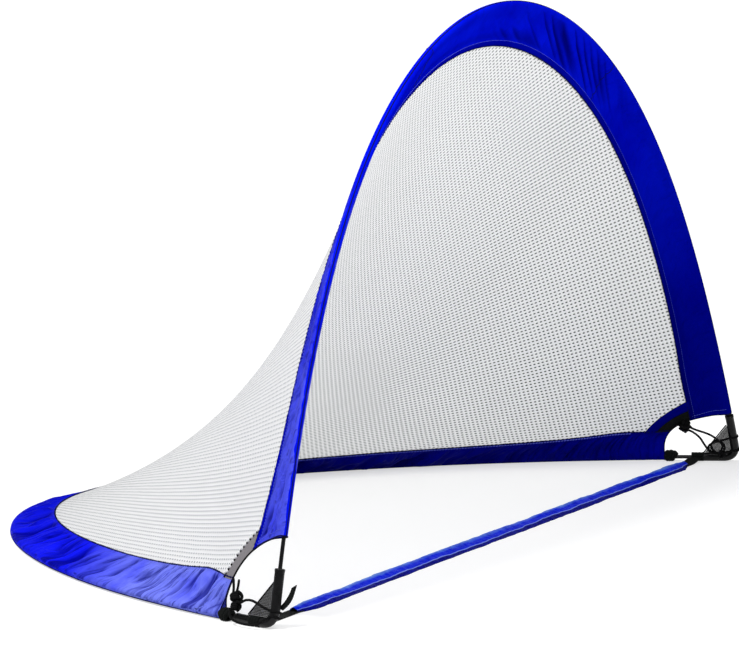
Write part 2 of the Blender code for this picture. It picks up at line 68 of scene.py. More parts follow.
# Floor and light
FLOOR_REACH, FLOOR_TONE, FLOOR_GLOW = 60.0, 0.50, 0.56
SKY_LIGHT = 0.33
SUN_STRENGTH, SUN_SPREAD, SUN_PLACE = 2.8, radians(18), (-2.0, 1.3, 4.8)
KEY_WATTS, KEY_SIZE, KEY_PLACE, KEY_TARGET = 22.0, 0.7, (-1.0, -1.2, 1.7), (0.3, 0.0, 0.8)

# Hoops
GOAL_WIDTH, GOAL_HEIGHT, GOAL_DEPTH = 1.83, 0.914, 0.960
ARCH_LEAN = radians(1.9)
ARCH_FOOT_ANGLE, ARCH_CROWN_SHARE, ARCH_CROWN_EASE = radians(77), 0.79, 3.2
BASE_FOOT_ANGLE, BASE_CROWN_SHARE, BASE_CROWN_EASE = radians(71.4), 0.36, 6.2
HALF = 240
STATIONS = 48

# Rods, tubes and sleeves
TUBE_WALL, TUBE_DIAMETER = 0.0020, 0.0120
TUBE_UPPER_LEG, TUBE_LOWER_LEG, TUBE_BEND_REACH = 0.088, 0.086, 0.020
TUBE_BEND_SOFTENING = 0.007
SLEEVE_DIAMETER, SLEEVE_WALL, POCKET_DEPTH = 0.0110, 0.0006, 0.030
RIM_ROWS, AIM_ROW, ROUND_SIDES = 5, 6, 24
SLEEVE_RUFFLE, LOOP_RIPPLE, TUBE_LIP, CUFF_WRAP = 0.0002, 0.0003, 0.0004, 0.0008
RIM_PIPING_DIAMETER = 0.0020
CUFF_DIAMETER, CUFF_LENGTH, CUFF_WALL, CUFF_SWELL = 0.0130, 0.020, 0.0025, 0.0022
LOOP_DIAMETER, LOOP_LENGTH = 0.0156, 0.022
ARCH_BARE_ROD = {"left": 0.052, "right": 0.006}
BASE_BARE_ROD = {"left": 0.016, "right": 0.030}
FABRIC_GAP, GROUND_GAP = 0.0003, 0.0002

# Cloth
SKIN_LIFT, OUTER_SKIN_MAP = 0.0006, 0.31
ARCH_BORDER_WIDTH, ARCH_BORDER_END_WIDTH = 0.082, 0.074
BASE_BORDER_WIDTH, BASE_BORDER_END_WIDTH = 0.084, 0.062
BORDER_TAPER_SHARE = 0.06
PLEAT_SLANT = 0.20
LEG_SHARE = 0.25
SEAM_BINDING_WIDTH = 0.010
NET_DRAW_AT_ARCH, NET_DRAW_AT_BASE, NET_DRAW_EASE = 0.05, 0.70, 2.0
NET_END_PULL = 0.075
EDGE_LEAVES_ARCH, EDGE_LEAVES_BASE = (0.38, 0.90, -0.15), (0.35, 0.02, 0.93)
SURFACE_ROWS, FLATTENING_ROUNDS, FLATTEST_WEIGHT = 16, 60, 0.05
TAPE_WIDTH = {"left": 0.034, "right": 0.046}
TAPE_BINDING_ROWS = {"left": 1.3, "right": 2.6}
TAPE_PIPING_DIAMETER = {"left": 0.0050, "right": 0.0018}
TAPE_THICKNESS, TAPE_EDGE_DIAMETER, TAPE_BINDING_OFFSET, TAPE_COLUMNS = 0.0014, 0.0030, 0.0013, 59
NET_TUCK = 0.004
FINE_COLUMNS, FINE_ROWS, BORDER_ROWS, NET_ROWS = 24, 4, 24, 110
ARCH_FOLD_HEIGHT, BASE_FOLD_HEIGHT = 0.0090, 0.0095
HEM_DIAMETER, SEAM_DIAMETER, SEAM_SHARES = 0.0024, 0.0014, (0.375, 0.668)
BINDING_STEP, BINDING_OFFSET, HEM_COLUMN = 0.0022, 0.0011, 5

# Stitches: pitch, length and radius
BINDING_STITCH, HEM_STITCH = (0.0052, 0.0036, 0.00045), (0.0046, 0.0034, 0.0005)
GATHER_STITCH, TAPE_STITCH = (0.0054, 0.0046, 0.0011), (0.0092, 0.0052, 0.0031)
SEAM_SLANT, HEM_STITCH_LIFT = 0.25, 0.0004
STITCH_SHAPE = np.array([[-0.5, -0.36, 0.0, 0.36, 0.5], [0.35, 0.9, 1.0, 0.9, 0.35]])

# Knit of the net, in cells to a metre across and along
KNIT_ACROSS, KNIT_ALONG = 78.0, 99.0
CROWN_STRETCH, CROWN_STRETCH_REACH = 10.0, 0.35
LEFT_OPENING, RIGHT_OPENING = 0.08, 0.26
CLOTH_THREAD, MESH_HOLE = 0.0011, 0.0024

# Ground strip and webbing
STRIP_SET_BACK = {"left": 0.038, "right": 0.070}
STRIP_LENGTH, STRIP_WIDTH, STRIP_HEIGHT = 1.530, 0.042, 0.0090
STRIP_LEFT_REACH, STRIP_RIGHT_REACH, STRIP_END_SHARE = 0.010, 0.062, 0.42
STRIP_WALL, STRIP_SIDES = 0.0005, 36
STRIP_SECTION = ((-1.0, 0.0), (-0.6, 0.47), (0.2, 1.0), (0.7, 0.62), (1.0, 0.0))
WEBBING_WIDTH, WEBBING_THICKNESS, WEBBING_LENGTH = 0.024, 0.0012, 1.78
TAIL_LENGTH, TAIL_WIDTH = 0.046, 0.012
GUSSET_REACH_UP, GUSSET_REACH_BACK = 0.068, 0.060
GUSSET_FLAT, GUSSET_AREA, GUSSET_THICKNESS = (0.062, 0.052), 0.0016, 0.0006
CORD_DIAMETER, HEM_CORD_DIAMETER = 0.0042, 0.0026

CORNER_HEIGHT = LOOP_DIAMETER / 2
SLEEVE_REST_HEIGHT = SLEEVE_DIAMETER / 2
SIDES = {"left": -1, "right": 1}
CORNER_Y = -(STRIP_SET_BACK["left"] + STRIP_SET_BACK["right"]) / 2


# Camera

def eye_directions():
    """The camera's right, up and forward directions."""
    forward = np.array([sin(EYE_YAW) * cos(EYE_PITCH), cos(EYE_YAW) * cos(EYE_PITCH), sin(EYE_PITCH)])
    level = np.array([cos(EYE_YAW), -sin(EYE_YAW), 0.0])
    upright = np.cross(level, forward)
    right = cos(EYE_ROLL) * level + sin(EYE_ROLL) * upright
    up = cos(EYE_ROLL) * upright - sin(EYE_ROLL) * level
    return right, up, forward


def add_camera():
    data = bpy.data.cameras.new("camera")
    data.sensor_fit = "HORIZONTAL"
    data.sensor_width = SENSOR_WIDTH
    data.lens = FOCAL_PIXELS * SENSOR_WIDTH / IMAGE_WIDTH
    data.clip_end = FAR_CLIP
    camera = bpy.data.objects.new("camera", data)
    right, up, forward = eye_directions()
    turn = Matrix(np.stack([right, up, -forward], axis=1).tolist()).to_4x4()
    camera.matrix_world = Matrix.Translation(EYE) @ turn
    bpy.context.scene.collection.objects.link(camera)
    bpy.context.scene.camera = camera


# Lines in space

def between(first, second, share):
    return first + (second - first) * share


def smooth_step(value):
    value = np.clip(value, 0, 1)
    return value * value * (3 - 2 * value)


def unit(vectors):
    return vectors / np.linalg.norm(vectors, axis=-1, keepdims=True)


def travel(points):
    """Distance run along a row of points, from its first one."""
    return np.concatenate([[0], np.cumsum(np.linalg.norm(np.diff(points, axis=0), axis=1))])


def at_distance(points, distance):
    """Points of a line at some distance from its first one, with whatever else its points carry."""
    run = travel(points[:, :3])
    return np.stack([np.interp(distance, run, column) for column in points.T], axis=-1)


def bent_rod(half_width, rise, foot_angle, crown_share, crown_ease):
    """Half of a sprung rod, from the foot at (0, 0) to the crown at (half_width, rise)."""
    along = (np.arange(HALF) + 0.5) / HALF
    heading = foot_angle * (1 - (1 - crown_share) * along - crown_share * along ** crown_ease)
    inward = np.concatenate([[0], np.cumsum(np.cos(heading))])
    upward = np.concatenate([[0], np.cumsum(np.sin(heading))])
    return inward / inward[-1] * half_width, upward / upward[-1] * rise


def whole_hoop(rise, foot_angle, crown_share, crown_ease):
    inward, away = bent_rod(GOAL_WIDTH / 2, rise, foot_angle, crown_share, crown_ease)
    across = np.concatenate([inward - GOAL_WIDTH / 2, (GOAL_WIDTH / 2 - inward)[::-1][1:]])
    return across, np.concatenate([away, away[::-1][1:]])


def arch_line():
    across, away = whole_hoop(GOAL_HEIGHT, ARCH_FOOT_ANGLE, ARCH_CROWN_SHARE, ARCH_CROWN_EASE)
    back = CORNER_Y + away * sin(ARCH_LEAN)
    return np.stack([across, back, CORNER_HEIGHT + away * cos(ARCH_LEAN)], axis=1)


def base_line():
    across, away = whole_hoop(GOAL_DEPTH, BASE_FOOT_ANGLE, BASE_CROWN_SHARE, BASE_CROWN_EASE)
    past_tube = np.clip((away - TUBE_LOWER_LEG) / (GOAL_DEPTH - TUBE_LOWER_LEG), 0, 1)
    height = between(CORNER_HEIGHT, SLEEVE_REST_HEIGHT, past_tube)
    return np.stack([across, CORNER_Y + away, height], axis=1)


def refine(grid, steps):
    """A smooth curve through the first axis of a grid of points, with some steps between each two."""
    padded = np.concatenate([[2 * grid[0] - grid[1]], grid, [2 * grid[-1] - grid[-2]]])
    before, start, stop, after = padded[:-3], padded[1:-2], padded[2:-1], padded[3:]
    t = (np.arange(steps) / steps).reshape((1, -1) + (1,) * (grid.ndim - 1))
    before, start, stop, after = (part[:, None] for part in (before, start, stop, after))
    pull = (stop - before) * t + (2 * before - 5 * start + 4 * stop - after) * t ** 2
    fine = 0.5 * (2 * start + pull + (3 * start - before - 3 * stop + after) * t ** 3)
    return np.concatenate([fine.reshape((-1,) + grid.shape[1:]), grid[-1:]])


def noise(x, y, seed):
    """Smooth value noise from -1 to 1, one cell to a unit."""
    table = np.random.default_rng(seed).uniform(-1, 1, (256, 256))
    x, y = np.broadcast_arrays(np.asarray(x, float), np.asarray(y, float))
    cell_x, cell_y = np.floor(x).astype(int), np.floor(y).astype(int)
    share_x, share_y = smooth_step(x - cell_x), smooth_step(y - cell_y)
    near = between(table[cell_x % 256, cell_y % 256], table[(cell_x + 1) % 256, cell_y % 256], share_x)
    far = between(table[cell_x % 256, (cell_y + 1) % 256],
                  table[(cell_x + 1) % 256, (cell_y + 1) % 256], share_x)
    return between(near, far, share_y)


# The drawn surface between the hoops

def side_edge(arch_end, base_end, side):
    """The free edge beside a corner, which curves away from it from the arch sleeve to the base sleeve."""
    inward = np.array([-side, 1, 1])
    leave_arch = arch_end + NET_END_PULL * inward * EDGE_LEAVES_ARCH
    leave_base = base_end + NET_END_PULL * inward * EDGE_LEAVES_BASE
    t = np.linspace(0, 1, SURFACE_ROWS + 1)[:, None]
    ends = arch_end * (1 - t) ** 3 + base_end * t ** 3
    return ends + 3 * leave_arch * t * (1 - t) ** 2 + 3 * leave_base * t ** 2 * (1 - t)


def drawn_surface(arch_points, base_points):
    """Lines from the arch to the base on the surface that an evenly pulled net takes up."""
    count, rows = len(arch_points), SURFACE_ROWS
    share = travel(arch_points) / travel(arch_points)[-1]
    surface = np.zeros((count, rows + 1, 3))
    surface[:, 0] = arch_points
    surface[:, -1] = base_points
    surface[0] = side_edge(arch_points[0], base_points[0], SIDES["left"])
    surface[-1] = side_edge(arch_points[-1], base_points[-1], SIDES["right"])
    number = np.arange(count * (rows + 1)).reshape(count, rows + 1)
    fixed = np.zeros((count, rows + 1), bool)
    fixed[[0, -1]] = True
    fixed[:, [0, -1]] = True
    pull = np.zeros((fixed.size, fixed.size))

    def tie(first, second, strength):
        pull[first, second] -= strength
        pull[second, first] -= strength
        pull[first, first] += strength
        pull[second, second] += strength

    for i in range(count):
        span = (share[min(i + 1, count - 1)] - share[max(i - 1, 0)]) / 2
        for j in range(rows):
            tie(number[i, j], number[i, j + 1], span * rows)
            if i + 1 < count:
                draw = between(NET_DRAW_AT_ARCH, NET_DRAW_AT_BASE, (j / rows) ** NET_DRAW_EASE)
                tie(number[i, j], number[i + 1, j], draw / rows / (share[i + 1] - share[i]))
    free = ~fixed.ravel()
    flat = surface.reshape(-1, 3)
    flat[free] = np.linalg.solve(pull[np.ix_(free, free)], -pull[np.ix_(free, ~free)] @ flat[~free])
    return flat.reshape(surface.shape)


def seat_on_sleeve(hoop_points, next_points):
    """How far along each line the sleeve's surface lies, for lines that leave the hoop at a slant."""
    slant = np.einsum("ij,ij->i", unit(np.gradient(hoop_points, axis=0)), unit(next_points - hoop_points))
    return (SLEEVE_DIAMETER / 2 + FABRIC_GAP) / np.sqrt(1 - slant ** 2)


def border_width(full_width, end_width, count):
    place = np.linspace(0, 1, count)
    ease = smooth_step(np.minimum(place, 1 - place) / BORDER_TAPER_SHARE)
    return between(end_width, full_width, ease)


def strip_of(surface, start, stop, rows):
    """The part of the surface between two distances along each of its lines."""
    return np.array([at_distance(line, np.linspace(first, last, rows + 1))
                     for line, first, last in zip(surface, start, stop)])


def flat_cut(surface):
    """Each point's place on one flat piece of knit that is laid over the surface with as little stretch as
    can be: the triangles are turned into the plane one by one and then pulled together, over and over.
    Places in the plane are complex numbers."""
    count, rows = surface.shape[:2]
    number = np.arange(count * rows).reshape(count, rows)
    a, b, c, d = number[:-1, :-1], number[1:, :-1], number[1:, 1:], number[:-1, 1:]
    triangles = np.concatenate([np.stack(half, axis=-1).reshape(-1, 3) for half in ((a, b, c), (a, c, d))])
    places = surface.reshape(-1, 3)
    corners = places[triangles] - places[triangles[:, :1]]
    way = unit(corners[:, 1])
    aside = np.cross(unit(np.cross(corners[:, 1], corners[:, 2])), way)
    own = np.einsum("ijk,ik->ij", corners, way) + 1j * np.einsum("ijk,ik->ij", corners, aside)
    stiffness = np.zeros((len(places), len(places)))
    edges = []
    for start, stop, opposite in ((0, 1, 2), (1, 2, 0), (2, 0, 1)):
        spread = (own[:, start] - own[:, opposite]).conj() * (own[:, stop] - own[:, opposite])
        weight = np.maximum(spread.real / np.abs(spread.imag), FLATTEST_WEIGHT)
        p, q = triangles[:, start], triangles[:, stop]
        for row, column, sign in ((p, p, 1), (q, q, 1), (p, q, -1), (q, p, -1)):
            np.add.at(stiffness, (row, column), sign * weight)
        edges.append((p, q, weight * (own[:, start] - own[:, stop])))
    inverse = np.linalg.inv(stiffness + 1e-8 * np.eye(len(places)))
    flat = metric(surface).reshape(-1, 2) @ (1, 1j)
    for _ in range(FLATTENING_ROUNDS):
        turn = sum((flat[p] - flat[q]) * edge.conj() for p, q, edge in edges)
        turn /= np.abs(turn)
        pulls = np.zeros(flat.shape, complex)
        for p, q, edge in edges:
            np.add.at(pulls, p, turn * edge)
            np.add.at(pulls, q, -turn * edge)
        flat = inverse @ pulls
    flat = flat.reshape(count, rows)
    flat -= flat[count // 2, 0]
    flat /= flat[count // 2, -1] / np.abs(flat[count // 2, -1])
    return np.stack([-flat.imag, flat.real], axis=2)


def cloth_area(grid):
    """Area of a grid of points, from the two halves of each of its squares."""
    a, b, c, d = grid[:-1, :-1], grid[1:, :-1], grid[1:, 1:], grid[:-1, 1:]
    halves = np.linalg.norm(np.cross(b - a, c - a), axis=2) + np.linalg.norm(np.cross(c - a, d - a), axis=2)
    return float(halves.sum() / 2)


def outward_of(grid):
    """Unit normals of a grid of points, pointing out of the goal."""
    return unit(np.cross(np.gradient(grid, axis=0), np.gradient(grid, axis=1)))


def metric(grid):
    """Distances across, from the middle of each row, and along, from the start of each line."""
    steps = np.linalg.norm(np.diff(grid, axis=0), axis=2)
    across = np.concatenate([np.zeros((1, grid.shape[1])), np.cumsum(steps, axis=0)])
    across -= across[len(grid) // 2]
    rows = np.linalg.norm(np.diff(grid, axis=1), axis=2)
    along = np.concatenate([np.zeros((len(grid), 1)), np.cumsum(rows, axis=1)], axis=1)
    return np.stack([across, along], axis=2)


def map_of(across, along):
    return np.stack(np.broadcast_arrays(across, along), axis=2)


# Meshes

def add_mesh(name, vertices, faces, corners_uv, material):
    """A smooth shaded mesh with a map in metres, one place for each corner of each face."""
    data = bpy.data.meshes.new(name)
    data.from_pydata(np.asarray(vertices).tolist(), [], faces)
    layer = data.uv_layers.new(name="cloth")
    layer.data.foreach_set("uv", np.asarray(corners_uv, np.float32).ravel())
    data.materials.append(material)
    data.shade_smooth()
    item = bpy.data.objects.new(name, data)
    bpy.context.scene.collection.objects.link(item)
    return item


def grid_parts(grid, uv, wrap=False, caps=False):
    """Vertices, faces and map corners of a grid of points; wrap joins its last row to its first."""
    count, rows = grid.shape[:2]
    i, j = np.meshgrid(np.arange(count - 1), np.arange(rows if wrap else rows - 1), indexing="ij")
    i, j = i.ravel(), j.ravel()
    start, stop, after = i * rows, (i + 1) * rows, (j + 1) % rows
    faces = np.stack([start + j, stop + j, stop + after, start + after], 1).tolist()
    corners = np.stack([uv[i, j], uv[i + 1, j], uv[i + 1, j + 1], uv[i, j + 1]], 1).reshape(-1, 2)
    if caps:
        ends = [list(range(rows)), list(range((count - 1) * rows, count * rows))[::-1]]
        faces += ends
        corners = np.concatenate([corners, uv[0, :rows], uv[-1, :rows][::-1]])
    return grid.reshape(-1, 3), faces, corners


def add_grid(name, grid, uv, material, wrap=False):
    return add_mesh(name, *grid_parts(grid, uv, wrap), material)


def add_parts(name, parts, material):
    """One mesh from several separate closed bits."""
    vertices, faces, corners, first = [], [], [], 0
    for some_vertices, some_faces, some_corners in parts:
        vertices.append(some_vertices)
        faces += [[index + first for index in face] for face in some_faces]
        corners.append(some_corners)
        first += len(some_vertices)
    return add_mesh(name, np.concatenate(vertices), faces, np.concatenate(corners), material)


def thickened(item, thickness, offset=0.0):
    """The piece as a closed sheet of cloth of that thickness."""
    shell = item.modifiers.new("thickness", "SOLIDIFY")
    shell.thickness = thickness
    shell.offset = offset
    bpy.context.view_layer.update()
    solid = bpy.data.meshes.new_from_object(item.evaluated_get(bpy.context.evaluated_depsgraph_get()))
    item.modifiers.clear()
    item.data = solid
    return item


def add_cloth(name, grid, uv, material, thickness, offset=0.0, wrap=False):
    return thickened(add_grid(name, grid, uv, material, wrap), thickness, offset)


def round_angles(sides):
    return np.arange(sides) / sides * 2 * pi


def ring_frames(points):
    """Two directions square to the line at each of its points, without twist."""
    tangent = unit(np.gradient(points, axis=0))
    aside = np.cross(tangent[0], (0.13, 0.21, 0.97))
    firsts = []
    for direction in tangent:
        aside = aside - direction * (aside @ direction)
        aside /= np.linalg.norm(aside)
        firsts.append(aside)
    firsts = np.array(firsts)
    return firsts, np.cross(tangent, firsts)


def tube_parts(points, radius, sides, caps=True):
    """A swept tube; the radius is one number, one for each ring, or one for each point of each ring."""
    first, second = ring_frames(points)
    angle = round_angles(sides)
    radius = np.asarray(radius, float)
    radius = np.broadcast_to(radius[:, None] if radius.ndim == 1 else radius, (len(points), sides))
    ways = first[:, None] * np.cos(angle)[None, :, None] + second[:, None] * np.sin(angle)[None, :, None]
    grid = points[:, None] + ways * radius[:, :, None]
    turn = np.arange(sides + 1) / sides * 2 * pi * float(radius.mean())
    return grid_parts(grid, map_of(travel(points)[:, None], turn), wrap=True, caps=caps)


def add_tube(name, points, radius, sides, material, caps=True):
    return add_parts(name, [tube_parts(points, radius, sides, caps)], material)


def stitches(path, normals, stitch, lift, slant=0.0):
    """Short rounded stitches of one pitch, length and radius set along a seam, each lying on the cloth."""
    pitch, length, radius = stitch
    run = travel(path)
    parts = []
    for start in np.arange(pitch / 2, run[-1] - length, pitch):
        place = at_distance(path, [start, start + length])
        normal = unit(at_distance(normals, np.interp(start, run, travel(normals))))
        way = unit(place[1] - place[0])
        side = np.cross(normal, way)
        way = unit(way + side * slant)
        middle = place.mean(axis=0) + normal * lift
        shares, swell = STITCH_SHAPE
        arch = (0.25 - shares ** 2) * radius * 1.6
        points = middle + way * (shares * length)[:, None] + normal * arch[:, None]
        parts.append(tube_parts(points, swell * radius, 6))
    return parts


# Corner directions

def from_corner(line, side):
    return line if side == "left" else line[::-1]


def corner_frame(side):
    """Corner point, the ways up the arch and along the base, and the way out of their plane."""
    arch, base = from_corner(arch_line(), side), from_corner(base_line(), side)
    up = unit(at_distance(arch, GUSSET_REACH_UP) - arch[0])
    back = unit(at_distance(base, GUSSET_REACH_BACK) - base[0])
    out = unit(np.cross(up, back))
    out *= np.sign(out[0]) * SIDES[side]
    return arch[0], up, back, out


def in_corner(side, places):
    corner, up, back, out = corner_frame(side)
    return np.array([corner + a * up + b * back + c * out for a, b, c in places])


# Hiding the nodes that pieces stand for, and baking their transforms

def stands_for(item, node):
    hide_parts(node)
    return item


def follow_fold(item):
    """Bake the piece's transform into its mesh and work out how far each point has turned from the arch
    towards the base, round the line through the two corners; the piece is not moved."""
    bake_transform(item)
    places = np.array([vertex.co for vertex in item.data.vertices])
    turn = np.arctan2(places[:, 1] - CORNER_Y, places[:, 2] - CORNER_HEIGHT)
    share = smooth_step((turn - ARCH_LEAN) / (pi / 2 - ARCH_LEAN))


def sewn(item):
    follow_fold(item)


# Materials

class Value:
    """What comes out of a node, for sums and products with other such values or with numbers."""

    def __init__(self, shader, socket):
        self.shader, self.socket = shader, socket

    def __add__(self, other):
        return self.shader.math("ADD", self, other)

    def __sub__(self, other):
        return self.shader.math("SUBTRACT", self, other)

    def __rsub__(self, other):
        return self.shader.math("SUBTRACT", other, self)

    def __mul__(self, other):
        return self.shader.math("MULTIPLY", self, other)

    def __truediv__(self, other):
        return self.shader.math("DIVIDE", self, other)

    def __abs__(self):
        return self.shader.math("ABSOLUTE", self)


class Shader:
    """The nodes of a material or a world: add() makes a node and links or sets its inputs."""

    def __init__(self, name, kind="materials", surface="Principled BSDF"):
        self.owner = getattr(bpy.data, kind).new(name)
        self.owner.use_nodes = True
        self.tree = self.owner.node_tree
        self.surface = self.tree.nodes[surface]

    def fill(self, node, inputs):
        for key, value in inputs.items():
            if isinstance(value, Value):
                self.tree.links.new(value.socket, node.inputs[key])
            else:
                node.inputs[key].default_value = value

    def add(self, kind, inputs=None, out=0, **settings):
        node = self.tree.nodes.new(kind)
        for key, value in settings.items():
            setattr(node, key, value)
        self.fill(node, inputs or {})
        return Value(self, node.outputs[out])

    def math(self, operation, first, second=0.0):
        return self.add("ShaderNodeMath", {0: first, 1: second}, operation=operation)

    def wave(self, place, pitch, turn="SINE"):
        return self.math(turn, place * (2 * pi / pitch))

    def mix(self, share, first, second):
        return self.add("ShaderNodeMix", {0: share, 6: first, 7: second}, out=2, data_type="RGBA")

    def ramp(self, value, low, high, first=0.0, second=1.0):
        return self.add("ShaderNodeMapRange", {0: value, 1: low, 2: high, 3: first, 4: second}, clamp=True)

    def noise(self, scale, detail, roughness, vector):
        return self.add("ShaderNodeTexNoise",
                        {"Scale": scale, "Detail": detail, "Roughness": roughness, "Vector": vector})

    def place(self):
        return self.add("ShaderNodeTexCoord", out=3)

    def seen_by(self, *kinds):
        """1 for rays of either kind, 0 for others."""
        return self.math("MAXIMUM", *(self.add("ShaderNodeLightPath", out=kind) for kind in kinds))

    def parts(self, vector):
        split = self.add("ShaderNodeSeparateXYZ", {0: vector}).socket.node
        return [Value(self, socket) for socket in split.outputs]

    def map_place(self):
        """The place on the cloth's own map, in metres."""
        return self.add("ShaderNodeUVMap", uv_map="cloth")

    def bump(self, height, distance, strength, before=None):
        inputs = {"Height": height, "Distance": distance, "Strength": strength}
        if before is not None:
            inputs["Normal"] = before
        return self.add("ShaderNodeBump", inputs)

    def set(self, **inputs):
        self.fill(self.surface, {key.replace("_", " "): value for key, value in inputs.items()})

    def lit_through(self, share, colour, normal):
        """Thin cloth: some of the light on its far side comes through."""
        through = self.add("ShaderNodeBsdfTranslucent", {"Color": colour, "Normal": normal})
        lit = Value(self, self.surface.outputs[0])
        mixed = self.add("ShaderNodeMixShader", {0: share, 1: lit, 2: through})
        self.fill(self.tree.nodes["Material Output"], {"Surface": mixed})


def rgb(red, green, blue):
    return (red, green, blue, 1.0)


def grey(tone):
    return rgb(tone, tone, tone)


def blue(tone):
    return rgb(0.0, 0.0, tone)


def threads(shader, across, along):
    """Height of a plain weave of threads."""
    return shader.math("MAXIMUM", shader.wave(across, CLOTH_THREAD), shader.wave(along, CLOTH_THREAD))


def coated_cloth(name, colour, lit_pale, dark, stretched, crease, gloss, through, lit_pale_to=2.0, highlight_spread=0.0):
    """Coated nylon: fine weave, creases and patchy roughness, with painted shade in its folds and creases,
    and a soft blue gloss.
    The third colour is the painted shade's. Painted shade deepens the colour towards the ground at the
    right. A patchy painted highlight in the second, paler colour lies only in front and left of the x given
    by the second-last argument, over more of the cloth the larger the last argument is. The creases are
    longer down the cloth than across it, and crease gives their height and how much painted shade they
    take."""
    shader = Shader(name)
    spot = shader.map_place()
    across, along, _ = shader.parts(spot)
    place = shader.place()
    x, y, z = shader.parts(place)
    patches = shader.noise(7.0, 4.0, 0.6, place)
    drawn = shader.add("ShaderNodeVectorMath", {0: spot, 1: (1.0, 1.0 / stretched, 1.0)},
                       operation="MULTIPLY")
    creases = shader.noise(110.0, 3.0, 0.55, drawn)
    broad = shader.noise(38.0, 2.0, 0.5, drawn)
    height = broad * 2.0 + (creases - abs(creases - 0.5) * 2.0)
    # Painted highlight: the second, paler colour, in patches, only in front and at the left.
    in_front = shader.ramp(y, 0.30, 0.50, 1.0, 0.0)
    front_left = shader.ramp(x, lit_pale_to - 0.25, lit_pale_to, 1.0, 0.0) * in_front
    painted_highlight = shader.ramp(patches, 0.30 - highlight_spread, 0.58 - highlight_spread) * front_left
    # Painted shade: the colour deepens towards the third, dark colour near the ground at the right.
    low_right_shade = shader.ramp(z, 0.25, 0.85, 1.0, 0.0) * shader.ramp(x, -0.45, 0.25)
    tone = shader.mix(low_right_shade * 0.72, shader.mix(painted_highlight, colour, lit_pale), dark)
    # Painted shade in the creases.
    tone = shader.mix(shader.ramp(height, 0.95, 1.35, crease[1], 0.0), tone, dark)
    # Painted shade in the folds: the fold attribute darkens the cloth where it lies in them.
    fold = shader.add("ShaderNodeAttribute", out=2, attribute_name="fold")
    tone = shader.mix(shader.ramp(fold, -0.9, -0.05, 0.78, 0.0), tone, dark)
    weave = shader.bump(threads(shader, across, along), 0.00010, 0.5)
    normal = shader.bump(height, crease[0], 0.9, weave)
    shader.set(Base_Color=tone, Roughness=shader.ramp(patches, 0.3, 0.7, 0.40, 0.52), Normal=normal,
               Sheen_Weight=gloss, Sheen_Roughness=0.35, Sheen_Tint=rgb(0.30, 0.36, 1.0),
               Specular_IOR_Level=gloss * 0.6, Specular_Tint=rgb(0.20, 0.30, 1.0))
    shader.lit_through(through, tone, normal)
    return shader.owner


def strip_cloth():
    """The ground strip's cloth: painted highlight along its top, a painted highlight line on the crease
    below, painted shade over its front.
    """
    shader = Shader("strip_cloth")
    across, along, _ = shader.parts(shader.map_place())
    place = shader.place()
    share = along / STRIP_WIDTH + (shader.noise(9.0, 3.0, 0.55, place) - 0.5) * 0.20
    streaks = shader.noise(60.0, 4.0, 0.6, place)
    patches = shader.noise(5.0, 3.0, 0.6, place)
    # Painted highlight along the top of the strip, in patches.
    pale = shader.ramp(share, 0.40, 0.53, 1.0, 0.0) * shader.ramp(patches, 0.38, 0.55, 0.25, 1.0)
    tone = shader.mix(pale, rgb(0.0004, 0.0170, 0.76), rgb(0.15, 0.33, 0.86))
    # Painted shade over the strip's front.
    tone = shader.mix(shader.ramp(share, 0.68, 0.72), tone, rgb(0.0001, 0.0004, 0.20))
    tone = shader.mix(shader.ramp(streaks, 0.48, 0.72, 0.0, 0.6), tone, rgb(0.0005, 0.0060, 0.42))
    # Painted highlight line on the crease.
    tone = shader.mix(shader.ramp(abs(share - 0.70), 0.008, 0.024, 0.75, 0.0), tone, rgb(0.26, 0.36, 0.95))
    weave = shader.bump(threads(shader, across, along), 0.0001, 0.5)
    shader.set(Base_Color=tone, Roughness=shader.ramp(streaks, 0.3, 0.7, 0.30, 0.46),
               Normal=shader.bump(streaks, 0.0030, 0.8, weave), Specular_IOR_Level=0.012)
    return shader.owner


def knitted_net():
    """White knit with small oval holes, in rows that cross; the holes hold painted shade, lighter at the
    left, where the net's outside is lit.
    The knit is drawn out below the crown. The rows that rise to the right are the stronger ones, except at
    the left, where both are alike."""
    shader = Shader("net_knit")
    across, along, _ = shader.parts(shader.map_place())
    place = shader.place()
    wobble = (shader.noise(28.0, 2.0, 0.5, place) - 0.5) * 0.16
    column = across * KNIT_ACROSS
    drawn_out = shader.math("EXPONENT", along / -CROWN_STRETCH_REACH) * CROWN_STRETCH
    row = along * KNIT_ALONG + (wobble + drawn_out)
    rising = shader.wave(column + row, 1, "COSINE")
    falling = shader.wave(row - column, 1, "COSINE")
    lean = shader.ramp(across, -0.55, -0.20, 0.95, 1.56) - shader.ramp(across, 0.40, 0.75, 0.0, 0.36)
    field = rising * lean + falling * (2.0 - lean)
    opened = field + shader.ramp(across, 0.10, 0.70, LEFT_OPENING, RIGHT_OPENING)
    hole = shader.ramp(opened, 1.15, 1.62)
    yarn = shader.mix(shader.noise(240.0, 2.0, 0.5, place), rgb(0.84, 0.85, 0.86), grey(0.98))
    # Painted shade in the holes, lighter at the left, where the net's outside is lit.
    shade = shader.mix(shader.ramp(across, -0.70, 0.05), rgb(0.24, 0.25, 0.29), rgb(0.035, 0.050, 0.050))
    tone = shader.mix(hole, yarn, shade)
    normal = shader.bump(field, 0.0010, 0.35)
    shader.set(Base_Color=tone, Roughness=0.9, Normal=normal, Specular_IOR_Level=0.2)
    shader.lit_through(0.36, tone, normal)
    return shader.owner


